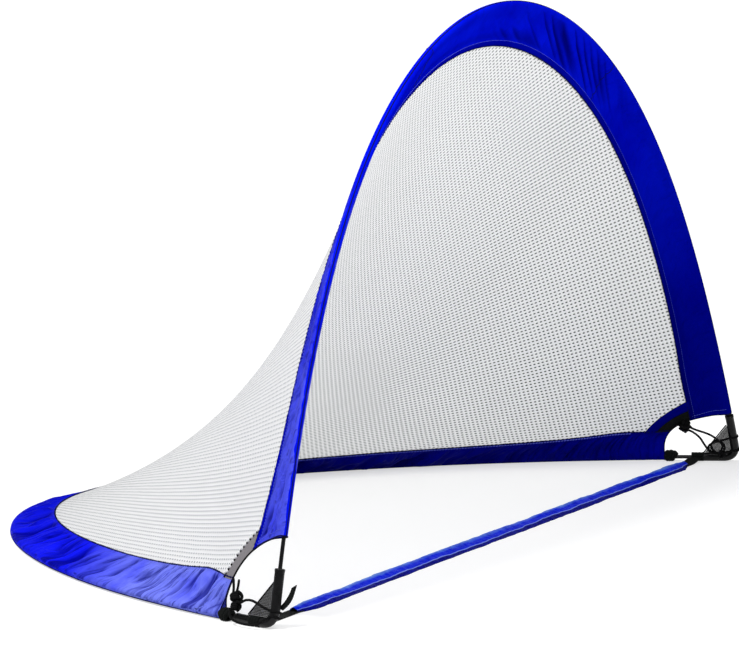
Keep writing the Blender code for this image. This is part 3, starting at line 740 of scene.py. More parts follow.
def woven(name, colour, pitch, rib):
    """Webbing, tape and cord: ribs along the piece crossed by a fine weave."""
    shader = Shader(name)
    across, along, _ = shader.parts(shader.map_place())
    height = shader.wave(along, pitch) + shader.wave(across, pitch * 0.7) * 0.6
    fuzz = shader.noise(450.0, 3.0, 0.6, shader.place())
    light = rgb(*(min(1.0, 0.002 + part * 1.7) for part in colour[:3]))
    tone = shader.mix(shader.ramp(height, -1.2, 1.5, 0.0, 0.7), colour, light)
    tone = shader.mix(shader.ramp(fuzz, 0.35, 0.75, 0.0, 0.5), tone, light)
    shader.set(Base_Color=tone, Roughness=shader.ramp(fuzz, 0.3, 0.7, 0.62, 0.82),
               Normal=shader.bump(height, rib, 0.7), Specular_IOR_Level=0.08)
    return shader.owner


def dark_mesh():
    """Thin black mesh that shows some of what is behind it."""
    shader = Shader("dark_mesh")
    across, along, _ = shader.parts(shader.map_place())
    field = shader.wave(across, MESH_HOLE, "COSINE") + shader.wave(along, MESH_HOLE, "COSINE")
    tone = shader.mix(shader.ramp(field, -1, 1), rgb(0.006, 0.006, 0.007), rgb(0.028, 0.028, 0.030))
    shader.set(Base_Color=tone, Roughness=0.7, Normal=shader.bump(field, 0.0003, 0.5),
               Specular_IOR_Level=0.15, Alpha=shader.ramp(field, 0.0, 0.6, 0.92, 0.50))
    return shader.owner


def rubber(name, dark, pale, roughness):
    """Moulded rubber with scuffs and dust."""
    shader = Shader(name)
    place = shader.place()
    scuffs = shader.noise(140.0, 6.0, 0.7, place)
    dust = shader.noise(22.0, 3.0, 0.55, place)
    tone = shader.mix(shader.ramp(dust, 0.35, 0.75, 0.0, 0.8), dark, pale)
    tone = shader.mix(shader.ramp(scuffs, 0.62, 0.75, 0.0, 0.4), tone, grey(0.05))
    shader.set(Base_Color=tone, Roughness=shader.ramp(scuffs, 0.3, 0.7, roughness - 0.08, roughness + 0.12),
               Normal=shader.bump(scuffs, 0.0002, 0.4), Specular_IOR_Level=0.20)
    return shader.owner


def drawn_steel():
    shader = Shader("drawn_steel")
    lines = shader.noise(600.0, 2.0, 0.5, shader.place())
    tone = shader.mix(lines, rgb(0.45, 0.45, 0.47), rgb(0.66, 0.66, 0.68))
    shader.set(Base_Color=tone, Metallic=1.0, Roughness=shader.ramp(lines, 0.3, 0.7, 0.28, 0.42),
               Normal=shader.bump(lines, 0.00005, 0.5))
    return shader.owner


add_camera()

# For each cloth the second colour is its painted highlight and the third the colour of its painted shade.
# The leg's cloth has the blue cloth's dye with a paler painted highlight and more painted shade in its
# creases.
BLUE = coated_cloth("blue_cloth", rgb(0.0003, 0.0030, 0.72), rgb(0.0010, 0.0090, 0.88), blue(0.12),
                    2.5, (0.0014, 0.12), 0.0, 0.22)
LEG_BLUE = coated_cloth("leg_cloth", rgb(0.0003, 0.0030, 0.72), rgb(0.080, 0.100, 0.90), blue(0.16),
                        1.4, (0.0030, 0.40), 0.04, 0.18, -0.55)
GATHERED = coated_cloth("gathered_cloth", rgb(0.006, 0.010, 0.86), rgb(0.185, 0.225, 0.92), blue(0.22),
                        7.0, (0.0045, 0.56), 0.012, 0.15, -0.15, 0.12)
HEM_BLUE = coated_cloth("hem_cloth", rgb(0.0002, 0.0010, 0.36), rgb(0.0005, 0.0030, 0.46), blue(0.10),
                        1.2, (0.0006, 0.10), 0.0, 0.10)
STRIP_BLUE = strip_cloth()
KNIT = knitted_net()
TAPE = woven("edge_tape", rgb(0.17, 0.16, 0.17), 0.0016, 0.0002)
WEBBING = woven("black_webbing", rgb(0.0026, 0.0034, 0.0031), 0.0020, 0.0003)
CORD = woven("black_cord", rgb(0.0018, 0.0018, 0.0021), 0.0014, 0.0002)
NAVY = woven("navy_binding", rgb(0.0006, 0.0008, 0.040), 0.0012, 0.0001)
THREAD = woven("white_thread", rgb(0.66, 0.67, 0.72), 0.0006, 0.0001)
BLUE_THREAD = woven("blue_thread", rgb(0.090, 0.110, 0.62), 0.0006, 0.0001)
MESH = dark_mesh()
TUBE_RUBBER = rubber("tube_rubber", rgb(0.0015, 0.0015, 0.0018), rgb(0.008, 0.008, 0.009), 0.30)
ROD_FIBRE = rubber("rod_fibre", rgb(0.0020, 0.0020, 0.0025), rgb(0.006, 0.006, 0.007), 0.34)
STEEL = drawn_steel()

arch, base = arch_line(), base_line()
arch_start = {side: TUBE_UPPER_LEG + ARCH_BARE_ROD[side] for side in SIDES}
base_start = {side: TUBE_LOWER_LEG + BASE_BARE_ROD[side] + CUFF_LENGTH + 2 * FABRIC_GAP for side in SIDES}
arch_stations = np.linspace(arch_start["left"], travel(arch)[-1] - arch_start["right"], STATIONS + 1)
base_stations = np.linspace(base_start["left"], travel(base)[-1] - base_start["right"], STATIONS + 1)
arch_points, base_points = at_distance(arch, arch_stations), at_distance(base, base_stations)


# Cords at the corners

def turn_round_leg(height, first_angle, last_angle):
    """Places of a cord that turns round the upper leg of the corner tube, from one angle to another in
    degrees."""
    steps = ceil(abs(last_angle - first_angle) / 30)
    angles = np.radians(np.linspace(first_angle, last_angle, steps + 1))
    radius = (TUBE_DIAMETER + CORD_DIAMETER) / 2 + 0.0004
    return [(height, radius * cos(angle), radius * sin(angle)) for angle in angles]


CORD_ROUTES = {
    "corner_cord_left_upper": ("left", {2: 1.35}, [
        (0.061, 0.0900, 0.001), (0.046, 0.089, 0.003), (0.032, 0.090, 0.006), (0.024, 0.076, 0.009),
        (0.030, 0.060, 0.010), (0.031, 0.045, 0.011), (0.028, 0.030, 0.012), (0.024, 0.0165, 0.0130),
        *turn_round_leg(0.020, 70, 255)]),
    "corner_cord_left_lower": ("left", {3: 1.15}, [
        (0.062, 0.0980, 0.006), (0.046, 0.0950, 0.006), (0.031, 0.093, 0.007), (0.0175, 0.084, 0.010),
        (0.009, 0.0880, 0.015), (-0.002, 0.080, 0.019), (-0.007, 0.062, 0.021), (-0.008, 0.040, 0.020),
        (-0.006, 0.021, 0.019), (0.003, 0.009, 0.0155), *turn_round_leg(0.011, 80, 250)]),
    "corner_cord_right_upper": ("right", {1: 1.60}, [
        (0.078, 0.094, -0.004), (0.071, 0.085, -0.006), (0.062, 0.070, -0.007), (0.055, 0.051, -0.008),
        (0.050, 0.040, -0.009), (0.044, 0.030, -0.013), (0.034, 0.021, -0.016), (0.022, 0.025, -0.018),
        (0.016, 0.036, -0.018), (0.020, 0.047, -0.017), (0.031, 0.047, -0.016), (0.038, 0.036, -0.0155),
        (0.041, 0.024, -0.0145), *turn_round_leg(0.044, -70, -255)]),
    "corner_cord_right_lower": ("right", {1: 1.30, 7: 1.10}, [
        (0.073, 0.098, -0.005), (0.064, 0.088, -0.007), (0.056, 0.073, -0.008), (0.045, 0.062, -0.009),
        (0.032, 0.056, -0.010), (0.021, 0.050, -0.0105), (0.0135, 0.039, -0.0115), (0.0145, 0.026, -0.0125),
        (0.025, 0.018, -0.0115), (0.036, 0.022, -0.0105), (0.039, 0.034, -0.010), (0.031, 0.043, -0.0125),
        (0.020, 0.038, -0.0165), (0.016, 0.026, -0.017), *turn_round_leg(0.017, -60, -255)]),
}


def knot(centre, way, thick):
    """A cord wound round itself: close turns with one strand laid over them."""
    way = unit(np.asarray(way, float))
    aside = unit(np.cross(way, (0.31, 0.77, 0.55)))
    other = np.cross(way, aside)
    t = np.linspace(0, 1, 64)
    angle = 2 * pi * 2.6 * t
    coil = centre + way * ((t - 0.5) * thick * 2.1)[:, None]
    coil = coil + (aside * np.cos(angle)[:, None] + other * np.sin(angle)[:, None]) * thick * 0.95
    s = np.linspace(-1, 1, 24)
    over = centre + way * (s * thick * 1.5)[:, None] + aside * (s * thick * 0.6)[:, None]
    over = over + other * (thick * (1.95 - 1.1 * s ** 2))[:, None]
    return [tube_parts(coil, thick * 0.5, 10), tube_parts(over, thick * 0.48, 10)]


def corner_cords():
    for name, (side, knots, route) in CORD_ROUTES.items():
        places = in_corner(side, route)
        points = refine(places, 6)
        swell = np.full(len(points), CORD_DIAMETER / 2)
        swell[[0, -1]] *= 0.7
        item = add_tube(name + "_cord", points, swell, 10, CORD)
        turns = []
        for at, size in knots.items():
            turns += knot(places[at], places[at + 1] - places[at - 1], CORD_DIAMETER * size)
        bound = add_parts(name + "_knot", turns, CORD)
        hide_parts(name)
        sewn(item)
        sewn(bound)


corner_cords()


# Cloth sewn between the hoops

surface = drawn_surface(arch_points, base_points)


def cloth_sheets():
    fine = refine(np.concatenate([surface, flat_cut(surface)], axis=2), FINE_COLUMNS)
    fine = refine(fine.transpose(1, 0, 2), FINE_ROWS).transpose(1, 0, 2)
    count = len(fine)
    spread = np.linspace(0, STATIONS, count)
    length = np.array([travel(line[:, :3])[-1] for line in fine])
    station = np.arange(STATIONS + 1)
    arch_slant = np.interp(spread, station, seat_on_sleeve(arch_points, surface[:, 1]))
    base_slant = np.interp(spread, station, seat_on_sleeve(base_points, surface[:, -2]))
    arch_seam = border_width(ARCH_BORDER_WIDTH, ARCH_BORDER_END_WIDTH, count)
    base_seam = length - border_width(BASE_BORDER_WIDTH, BASE_BORDER_END_WIDTH, count)
    arch_plain = strip_of(fine, np.full(count, SKIN_LIFT), arch_seam, BORDER_ROWS)[..., :3]
    base_plain = strip_of(fine, base_seam, length - SKIN_LIFT, BORDER_ROWS)[..., :3]
    arch_border(arch_plain, *round_sleeve(arch_plain, arch_slant))
    base_border(base_plain, *round_sleeve(base_plain[:, ::-1], base_slant))
    net_and_tapes(strip_of(fine[::2], (arch_seam - NET_TUCK)[::2], (base_seam + NET_TUCK)[::2], NET_ROWS))
    sleeve("arch_sleeve", "arch", fine[:, 0, :3], arch_plain[:, AIM_ROW], BLUE, 41)
    sleeve("base_sleeve", "base", fine[:, -1, :3], base_plain[:, -1 - AIM_ROW], GATHERED, 51)


def round_sleeve(lines, slant):
    """Rows that carry the border past its rod, and half the distance between its two skins, which part
    round the rod's sleeve and meet again on its far side."""
    beside_sleeve = SLEEVE_DIAMETER / 2 + FABRIC_GAP
    turn = radians(90) * np.arange(RIM_ROWS, 0, -1) / RIM_ROWS
    away = unit(lines[:, 0] - lines[:, AIM_ROW])
    rim = lines[:, :1] + away[:, None] * (slant[:, None] * np.sin(turn))[..., None]
    run = np.array([travel(line) for line in lines]) * (beside_sleeve / slant)[:, None]
    parted = SKIN_LIFT + beside_sleeve * (1 - smooth_step(run / POCKET_DEPTH))
    met = np.broadcast_to(SKIN_LIFT + beside_sleeve * np.cos(turn), (len(lines), RIM_ROWS))
    return rim, np.concatenate([met, parted], axis=1)


def folded_over(name, grid, lift, map_uv, fold, material):
    """Border of two skins that meet along its row at the net: the inner one, then the outer one back."""
    normal = outward_of(grid) * lift[..., None]
    skins = np.concatenate([grid - normal, (grid + normal)[:, ::-1]], axis=1)
    skins[..., 2] = np.maximum(skins[..., 2], SKIN_LIFT / 2)
    uv = np.concatenate([map_uv, map_uv[:, ::-1] + (0.0, OUTER_SKIN_MAP)], axis=1)
    cloth = add_grid(name, skins, uv, material)
    note_folds(cloth, np.concatenate([-fold, fold[:, ::-1]], axis=1))
    return cloth, skins


def note_folds(cloth, fold):
    """How far each point of the cloth stands out of its folds or lies in them, which its material turns
    into painted shade in the folds.
    """
    noted = cloth.data.attributes.new("fold", "FLOAT", "POINT")
    noted.data.foreach_set("value", np.ascontiguousarray(fold, np.float32).ravel())


def seam_binding(path, normals, name):
    """Uneven dark binding over a seam, on both faces."""
    full = travel(path)
    run = np.linspace(0, full[-1], int(full[-1] / BINDING_STEP))
    spine = at_distance(path, run)
    normal = unit(np.stack([np.interp(run, full, column) for column in normals.T], axis=1))
    swell = 0.0009 + 0.0006 * np.sin(run / 0.0075 * 2 * pi) + 0.0004 * noise(run / 0.006, 3.0, 81)
    swell = np.maximum(swell, 0.0005)
    parts = [tube_parts(spine + normal * way * BINDING_OFFSET, swell, 8) for way in (1, -1)]
    sewn(add_parts(name, parts, NAVY))


def seam_stitches(path, normals, ways, stitch, name):
    rows = []
    for way in ways:
        rows += stitches(path, normals * way, stitch, SKIN_LIFT + stitch[2], SEAM_SLANT)
    sewn(add_parts(name, rows, BLUE_THREAD))


def end_hems(skins):
    return [tube_parts(skins[column], HEM_DIAMETER / 2, 8) for column in (0, -1)]


def from_ends(across):
    return np.minimum(across - across[0], across[-1] - across)


def arch_border(plain, rim, lift):
    """Flat border with drag lines right of the crown, long soft folds, and crumples above the left foot."""
    map_uv = metric(plain)
    across, along = map_uv[..., 0], map_uv[..., 1]
    bulge = np.sin(pi * np.clip(along / along.max(), 0, 1))
    slanted = across - along * 2.05
    beside_crown = smooth_step(1.30 - np.abs(across - 0.26) / 0.28)
    drag = 1 - 2 * np.abs(noise(slanted / 0.034, along / 0.20 + 7, 3))
    drag = (drag + 0.6 * noise(slanted / 0.016, along / 0.08 + 7, 4)) * beside_crown
    near_foot = smooth_step((across[0] - across + 0.66) / 0.34)
    crumple = 1 - 2 * np.abs(noise(across / 0.030 + along / 0.040, along / 0.028, 5))
    crumple = (crumple + 0.7 * noise(across / 0.012 - along / 0.02, along / 0.011, 6)) * near_foot
    long_folds = noise(across / 0.26, along / 0.034 + 3, 11)
    fold = smooth_step(from_ends(across) / 0.020) * (0.50 * drag + 0.48 * crumple + 0.30 * long_folds)
    fold = fold * smooth_step((along[:, -1:] - along - NET_TUCK) / 0.014)
    grid = plain + outward_of(plain) * (ARCH_FOLD_HEIGHT * bulge * fold)[..., None]
    whole = np.concatenate([rim, grid], axis=1)
    shade = np.pad(1.7 * fold * bulge ** 0.5, ((0, 0), (RIM_ROWS, 0)), mode="edge")
    cloth, skins = folded_over("arch_border_cloth", whole, lift, metric(whole), shade, BLUE)
    cloth.data.materials.append(LEG_BLUE)
    on_leg = np.repeat(np.arange(len(skins) - 1) < LEG_SHARE * len(grid), skins.shape[1] - 1)
    cloth.data.polygons.foreach_set("material_index", on_leg.astype(np.int32))
    normal = outward_of(grid)
    finish_sheet(cloth, "arch_border", plain, 2)
    rows = int(round(SEAM_BINDING_WIDTH / along.max() * (grid.shape[1] - 1)))
    for way, face in ((1, "outer"), (-1, "inner")):
        folded = grid[:, -1 - rows:] + normal[:, -1 - rows:] * way * 2 * SKIN_LIFT
        uv = map_uv[:, -1 - rows:]
        sewn(add_cloth("arch_binding_" + face, folded, uv, HEM_BLUE, SKIN_LIFT))
    seam_stitches(grid[:, -1 - rows], normal[:, -1 - rows], (1, -1), BINDING_STITCH, "arch_border_stitches")
    half = skins.shape[1] // 2
    hems = []
    for column in (HEM_COLUMN, -1 - HEM_COLUMN):
        for skin, way in ((skins[column, RIM_ROWS:half], -1), (skins[column, half:-RIM_ROWS], 1)):
            hems += stitches(skin, normal[column] * way, HEM_STITCH, HEM_STITCH_LIFT)
    sewn(add_parts("arch_border_hem_stitches", hems, BLUE_THREAD))
    seams = [tube_parts(skins[int(share * len(grid))], SEAM_DIAMETER / 2, 8) for share in SEAM_SHARES]
    sewn(add_parts("arch_border_hems", seams + end_hems(skins), NAVY))
    seam_binding(grid[:, -1], normal[:, -1], "arch_seam_binding")


def base_border(plain, rim, lift):
    """Gathered border: fine pleats from the net's seam to the sleeve, over broader folds."""
    map_uv = metric(plain)
    across, along = map_uv[..., 0], map_uv[..., 1]
    width = along / along.max(axis=1, keepdims=True)
    to_sleeve = along.max(axis=1, keepdims=True) - along
    bulge = np.sin(pi * np.clip(width, 0, 1)) ** 0.8
    near_corner = smooth_step((0.36 - from_ends(across)) / 0.18)
    fanned = between(1, np.abs(across).max() / np.abs(across).max(axis=0), 0.8 * near_corner)
    shift = across * fanned + PLEAT_SLANT * (1 - near_corner) * to_sleeve * np.tanh(across / 0.2)
    shift = shift + 0.012 * noise(across / 0.09, width * 1.6, 21)
    broad = noise(shift / 0.040, width * 0.8, 23)
    middle = 2 * np.abs(noise(shift / 0.024, width * 0.9 + 3, 25)) - 0.8
    fine = 2 * np.abs(noise(shift / 0.0080, width * 0.7 + 9, 27)) - 0.8
    strength = 0.80 + 0.45 * noise(across / 0.12, width * 1.2, 29)
    fold = strength * (between(0.70, 0.15, near_corner) * broad + between(0.70, 0.35, near_corner) * middle
                       + between(0.18, 0.85, near_corner) * fine)
    fold = fold * smooth_step(from_ends(across) / 0.012) * between(0.15, 1, smooth_step(along / 0.012))
    bulge = bulge * smooth_step((along - NET_TUCK) / 0.010)
    grid = plain + outward_of(plain) * (BASE_FOLD_HEIGHT * bulge * fold)[..., None]
    whole = np.concatenate([grid, rim[:, ::-1]], axis=1)
    shade = np.pad(fold * between(1.5, 2.2, near_corner) - 0.05, ((0, 0), (0, RIM_ROWS)), mode="edge")
    map_uv = np.pad(np.stack([shift, along], axis=2), ((0, 0), (0, RIM_ROWS), (0, 0)), mode="edge")
    map_uv[:, -RIM_ROWS:, 1] += 0.0018 * np.arange(1, RIM_ROWS + 1)
    cloth, skins = folded_over("base_border_cloth", whole, lift[:, ::-1], map_uv, shade, GATHERED)
    finish_sheet(cloth, "base_border", plain, 2)
    normal = outward_of(grid)
    sewn(add_parts("base_border_hems", end_hems(skins), NAVY))
    seam_binding(grid[:, 0], normal[:, 0], "base_seam_binding")
    far = slice(len(grid) // 2, -40)
    seam_stitches(grid[far, 1], normal[far, 1], (-1,), GATHER_STITCH, "base_seam_stitches")


def net_and_tapes(whole):
    net, knit = whole[..., :3], whole[..., 3:]
    covered = {}
    for side in SIDES:
        lines = from_corner(net, side)
        run = np.array([travel(lines[:TAPE_COLUMNS + 1, row])[-1] for row in range(net.shape[1])])
        share = TAPE_WIDTH[side] / run.mean() * TAPE_COLUMNS
        across = np.linspace(0, share, 7)
        low = across.astype(int)
        part = (across - low)[:, None, None]
        tape = lines[low] * (1 - part) + lines[low + 1] * part
        outward = outward_of(tape) * (1 if side == "left" else -1)
        item = add_cloth("corner_tape_%s_cloth" % side, tape, metric(tape), TAPE, TAPE_THICKNESS)
        # The tape's inner faces take black webbing: painted shade on the tape seen from inside the goal.
        item.data.materials.append(WEBBING)
        facing = outward.reshape(-1, 3).mean(axis=0)
        inside = [int(np.dot(face.normal, facing) < 0) for face in item.data.polygons]
        item.data.polygons.foreach_set("material_index", inside)
        finish_sheet(item, "corner_tape_" + side, tape)
        inner, outer = tape[-1], tape[0]
        piping = [tube_parts(inner, TAPE_PIPING_DIAMETER[side] / 2, 8),
                  tube_parts(outer, TAPE_EDGE_DIAMETER / 2, 8)]
        sewn(add_parts("corner_tape_%s_piping" % side, piping, CORD))
        if side == "left":
            marks = stitches(inner, outward[-1], TAPE_STITCH, 0.0)
            sewn(add_parts("corner_tape_left_stitches", marks, THREAD))
        binding = np.array([between(tape[-1 - int(row)], tape[-2 - int(row)], row % 1)
                            for row in np.linspace(0, TAPE_BINDING_ROWS[side], 6)])
        binding = binding - outward[-1] * TAPE_BINDING_OFFSET
        name = "corner_tape_%s_binding" % side
        sewn(add_cloth(name, binding, metric(binding), BLUE, TAPE_THICKNESS / 2))
        covered[side] = int(share)
    seen = slice(covered["left"], len(net) - covered["right"])
    item = add_grid("net_cloth", net[seen], knit[seen], KNIT)
    finish_sheet(item, "net", net[seen])


def finish_sheet(item, node, plain, layers=1):
    """Hide the node that the sheet stands for and bake its transform. The longest row of the plain,
    unwrinkled grid and its area, as often as it has layers, are worked out but not used."""
    stands_for(item, node)
    wide = max(travel(line)[-1] for line in plain.transpose(1, 0, 2))
    cloth_area(plain) * layers
    follow_fold(item)


def sleeve(name, body, centre, tips, material, seed):
    """Pocket of cloth round a rod, with small ruffles and a piped rim on the side away from the border,
    whose navy colour is painted shade: the rod's shadow along the rim.
    """
    tangent = unit(np.gradient(centre, axis=0))
    toward = tips - centre
    toward = unit(toward - tangent * np.einsum("ij,ij->i", toward, tangent)[:, None])
    aside = np.cross(tangent, toward)
    run = travel(centre)[:, None]
    angle = round_angles(ROUND_SIDES)
    radius = SLEEVE_DIAMETER / 2
    ruffle = noise(run / 0.012 + 0.4 * np.sin(angle), np.cos(angle) * 1.5 + 4, seed)
    folds = noise(run / 0.045, np.sin(angle) * 1.2 + 9, seed + 1)
    reach = radius + SLEEVE_RUFFLE * (ruffle + folds - 2)
    ways = toward[:, None] * np.cos(angle)[..., None] + aside[:, None] * np.sin(angle)[..., None]
    grid = centre[:, None] + ways * reach[..., None]
    uv = map_of(run, np.linspace(0, pi * SLEEVE_DIAMETER, ROUND_SIDES + 1))
    item = add_cloth(name + "_cloth", grid, uv, material, SLEEVE_WALL, -1.0, wrap=True)
    stands_for(item, name)
    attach(item, body)
    # The navy piping is partly painted shade: a dark line for the rod's shadow along the rim.
    rim = centre - toward * (radius + 0.0001)
    piping = add_tube(name + "_piping", rim, RIM_PIPING_DIAMETER / 2, 8, NAVY)
    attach(piping, body)


cloth_sheets()


# Cuffs, tubes and loops

def hollow(name, node, points, radius, wall, sides, material):
    """A tube that is open at both ends and doesn't reach below the ground."""
    item = thickened(add_tube(name, points, radius, sides, material, caps=False), wall, -1.0)
    for vertex in item.data.vertices:
        vertex.co.z = max(vertex.co.z, GROUND_GAP)
    return stands_for(item, node)


def corner_tube(side):
    arch_side, base_side = from_corner(arch, side), from_corner(base, side)
    bend_reach = TUBE_BEND_REACH + TUBE_BEND_SOFTENING
    upper = at_distance(arch_side, np.linspace(TUBE_UPPER_LEG, bend_reach, 22))
    lower = at_distance(base_side, np.linspace(bend_reach, TUBE_LOWER_LEG, 22))
    t = np.linspace(0, 1, 20)[1:-1, None]
    bend = upper[-1] * (1 - t) ** 2 + 2 * arch_side[0] * t * (1 - t) + lower[0] * t ** 2
    points = np.vstack([upper, bend, lower])
    radius = np.full(len(points), TUBE_DIAMETER / 2)
    radius[[0, 1, -2, -1]] += TUBE_LIP
    item = hollow("corner_tube_%s_skin" % side, "corner_tube_" + side, points, radius, TUBE_WALL, 28,
                  TUBE_RUBBER)
    follow_fold(item)


def webbing_loop(side):
    base_side = from_corner(base, side)
    middle = np.interp(CORNER_Y + STRIP_SET_BACK[side], base_side[:HALF, 1], travel(base_side)[:HALF])
    points = at_distance(base_side, np.linspace(middle - LOOP_LENGTH / 2, middle + LOOP_LENGTH / 2, 24))
    radius = LOOP_DIAMETER / 2 + LOOP_RIPPLE * (np.sin(np.linspace(0, 7 * pi, 24)) - 1)
    item = hollow("webbing_loop_%s_band" % side, "webbing_loop_" + side, points, radius, WEBBING_THICKNESS,
                  ROUND_SIDES, WEBBING)
    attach(item, "base")


def cuff(side):
    """Bound end of the base sleeve, wrapped tight and swollen upwards between the wraps."""
    base_side = from_corner(base, side)
    stop = base_start[side] - FABRIC_GAP
    run = np.linspace(stop - CUFF_LENGTH, stop, 30)
    angle = round_angles(ROUND_SIDES)
    share = np.linspace(0, 1, 30)[:, None]
    swell = CUFF_SWELL * np.sin(pi * share) ** 0.6
    radius = CUFF_DIAMETER / 2 + swell + CUFF_WRAP * np.sin(share * 7 * pi + angle)
    points = at_distance(base_side, run)
    points[:, 2] += swell[:, 0]
    item = hollow("base_cuff_%s_wrap" % side, "base_cuff_" + side, points, radius, CUFF_WALL, ROUND_SIDES,
                  WEBBING)
    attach(item, "base")


for side in SIDES:
    corner_tube(side)
    webbing_loop(side)
    cuff(side)


# Gussets

def gusset_outline():
    clear = TUBE_DIAMETER / 2 + 0.0006
    above_loop = LOOP_DIAMETER / 2 + FABRIC_GAP
    notch = TUBE_BEND_REACH / 4 + clear * 0.75
    return np.array([(GUSSET_REACH_UP, clear, 0), (TUBE_BEND_REACH, clear, 0), (notch, notch, 0),
                     (above_loop, TUBE_BEND_REACH, 0), (above_loop, GUSSET_REACH_BACK, 0)])


def gusset(side):
    """Dark mesh panel in the plane of the corner tube, a little slack, with a corded free edge."""
    outline = gusset_outline()
    upper, lower = outline[0, :2], outline[-1, :2]
    inner = at_distance(outline, np.linspace(0, travel(outline)[-1], 25))[:, :2]
    free = between(upper, lower, np.linspace(0, 1, 25)[:, None])
    places = between(inner[:, None], free[:, None], np.linspace(0, 1, 13)[None, :, None])
    slack = 0.0018 * noise(places[..., 0] / 0.016, places[..., 1] / 0.016, 61)
    slack *= np.sin(pi * np.linspace(0, 1, 13))[None, :]
    corner, up, back, out = corner_frame(side)
    grid = corner + places[..., :1] * up + places[..., 1:] * back + slack[..., None] * out
    item = add_cloth("corner_gusset_%s_mesh" % side, grid, places, MESH, GUSSET_THICKNESS)
    stands_for(item, "corner_gusset_" + side)
    follow_fold(item)
    way = unit(lower - upper)
    aside = np.array([way[1], -way[0]]) * (HEM_CORD_DIAMETER / 2 + FABRIC_GAP)
    ends = between(upper + aside + way * HEM_CORD_DIAMETER, lower + aside, np.linspace(0, 1, 20)[:, None])
    points = in_corner(side, [(a, b, 0) for a, b in ends])
    hem = add_tube("gusset_cord_%s_cord" % side, points, HEM_CORD_DIAMETER / 2, 8, CORD)
    stands_for(hem, "gusset_cord_" + side)
    follow_fold(hem)


for side in SIDES:
    gusset(side)


# Ground strip and its webbing

def strip_middle(x):
    """The strip runs at a slant, since it meets the two corner tubes at different distances back."""
    return x / GOAL_WIDTH * (STRIP_SET_BACK["right"] - STRIP_SET_BACK["left"])


def ground_strip():
    """Cloth sleeve on the ground: a crease along its front, drawn into gathers, narrow at its ends."""
    half_length = STRIP_LENGTH / 2
    x = np.linspace(-half_length - STRIP_LEFT_REACH, half_length + STRIP_RIGHT_REACH, 620)[:, None]
    angle = round_angles(STRIP_SIDES)
    half = STRIP_WIDTH / 2 * between(STRIP_END_SHARE, 1, smooth_step(from_ends(x) / 0.055) ** 0.7)
    half = half + 0.0014 * noise(x / 0.035, 2.0, 71) + 0.0009 * noise(x / 0.012, 6.0, 72)
    place = np.cos(angle)
    section = np.interp(place + 0.08 * noise(x / 0.16, 8.0, 79), *zip(*STRIP_SECTION))
    over = np.sin(angle) > -1e-9
    gather = 0.0010 * noise(x / 0.017, place * 2 + 3, 73) + 0.0006 * noise(x / 0.0065, place * 3 + 8, 75)
    top = STRIP_HEIGHT + 0.0014 * noise(x / 0.11, 5.0, 77)
    height = np.maximum(np.where(over, section * (top + gather), 0.0) + GROUND_GAP, GROUND_GAP)
    grid = np.stack(np.broadcast_arrays(x, strip_middle(x) + place * half, height), axis=2)
    uv = map_of(x, np.arange(STRIP_SIDES + 1) / STRIP_SIDES * 2 * STRIP_WIDTH)
    item = add_cloth("ground_strip_cloth", grid, uv, STRIP_BLUE, STRIP_WALL, -1.0, wrap=True)
    stands_for(item, "ground_strip")
    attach(item, "base")


def webbing_end(side, y):
    base_side = from_corner(base, side)
    tube_x = np.interp(CORNER_Y + STRIP_SET_BACK[side] + y, base_side[:HALF, 1], base_side[:HALF, 0])
    return tube_x - SIDES[side] * (LOOP_DIAMETER / 2 + FABRIC_GAP) / sin(BASE_FOOT_ANGLE)


def strip_webbing():
    low = GROUND_GAP + STRIP_WALL + FABRIC_GAP + WEBBING_THICKNESS / 2
    reach = np.concatenate([np.linspace(0, 0.06, 16), np.linspace(0.1, STRIP_LENGTH / 2, 8)])
    height = between(CORNER_HEIGHT, low, smooth_step(reach / 0.05))
    height = np.concatenate([height, height[::-1]])
    rows = []
    for y in np.linspace(-WEBBING_WIDTH / 2, WEBBING_WIDTH / 2, 7):
        x = np.concatenate([webbing_end("left", y) + reach, webbing_end("right", y) - reach[::-1]])
        rows.append(np.stack([x, strip_middle(x) + y, height], axis=1))
    grid = np.stack(rows, axis=1)
    item = add_cloth("strip_webbing_band", grid, metric(grid), WEBBING, WEBBING_THICKNESS)
    stands_for(item, "strip_webbing")
    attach(item, "base")


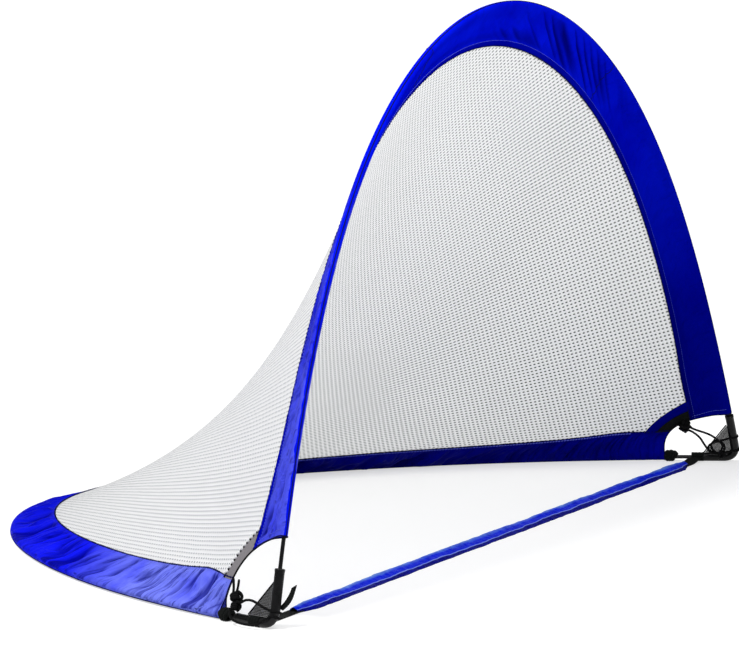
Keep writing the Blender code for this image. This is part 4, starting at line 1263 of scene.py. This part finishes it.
def webbing_tail():
    """Loose end of webbing that stands up beside the left corner tube, cut at a slant."""
    beside_tube = -(TUBE_DIAMETER + WEBBING_THICKNESS) / 2 - FABRIC_GAP
    start = np.array((0.026, -0.004, beside_tube))
    across = np.array((0.25, 0.97, 0.0)) * TAIL_WIDTH / 2
    share = np.linspace(0, 1, 20)[:, None]
    centre = start + np.array((0.86, -0.24, -0.30)) * TAIL_LENGTH * share
    centre = centre + np.sin(pi * share) * (-0.003, -0.004, 0)
    half = across * 0.9 - smooth_step((share - 0.55) / 0.45) * (0.0045, 0, 0)
    places = centre[:, None] + half[:, None] * np.linspace(-1, 1, 7)[:, None]
    grid = in_corner("left", places.reshape(-1, 3)).reshape(places.shape)
    item = add_cloth("webbing_tail_band", grid, metric(grid), WEBBING, WEBBING_THICKNESS)
    stands_for(item, "webbing_tail_left")
    follow_fold(item)


ground_strip()
strip_webbing()
webbing_tail()


# Carried-over nodes

for name, node in frame["nodes"].items():
    if "_rod_" in name or name.endswith("_ferrule"):
        node.data.materials.clear()
        node.data.materials.append(STEEL if name.endswith("_ferrule") else ROD_FIBRE)


# Floor and light

def floor():
    """Pale floor that reads white to the camera and keeps the goal's shadow."""
    shader = Shader("floor")
    mottle = shader.noise(3.0, 2.0, 0.5, shader.place())
    glow = shader.seen_by("Is Camera Ray", "Is Glossy Ray") * FLOOR_GLOW
    shader.set(Base_Color=shader.mix(mottle, grey(FLOOR_TONE), grey(FLOOR_TONE + 0.02)), Roughness=0.9,
               Specular_IOR_Level=0.0, Emission_Color=grey(1), Emission_Strength=glow)
    ends = (-FLOOR_REACH, FLOOR_REACH)
    grid = np.array([[(x, y, 0.0) for y in ends] for x in ends])
    add_grid("floor", grid, grid[..., :2], shader.owner)


def world():
    """Sky that is white to the camera and a dim light on the goal."""
    sky = Shader("world", "worlds", "Background")
    seen = sky.seen_by("Is Camera Ray", "Is Transmission Ray")
    sky.set(Color=grey(1), Strength=sky.ramp(seen, 0.0, 1.0, SKY_LIGHT, 1.0))
    bpy.context.scene.world = sky.owner


def aim(item, place, target):
    place, target = np.array(place, float), np.array(target, float)
    back = unit(place - target)
    side = unit(np.cross((0, 0, 1), back))
    turn = Matrix(np.stack([side, np.cross(back, side), back], axis=1).tolist()).to_4x4()
    item.matrix_world = Matrix.Translation(place.tolist()) @ turn
    bpy.context.scene.collection.objects.link(item)


def lamps():
    sun = bpy.data.lights.new("sun", "SUN")
    sun.energy, sun.angle = SUN_STRENGTH, SUN_SPREAD
    aim(bpy.data.objects.new("sun", sun), SUN_PLACE, (0, 0, 0))
    key = bpy.data.lights.new("key", "AREA")
    key.energy, key.size = KEY_WATTS, KEY_SIZE
    aim(bpy.data.objects.new("key", key), KEY_PLACE, KEY_TARGET)


floor()
world()
lamps()
bpy.context.scene.view_settings.view_transform = "Standard"
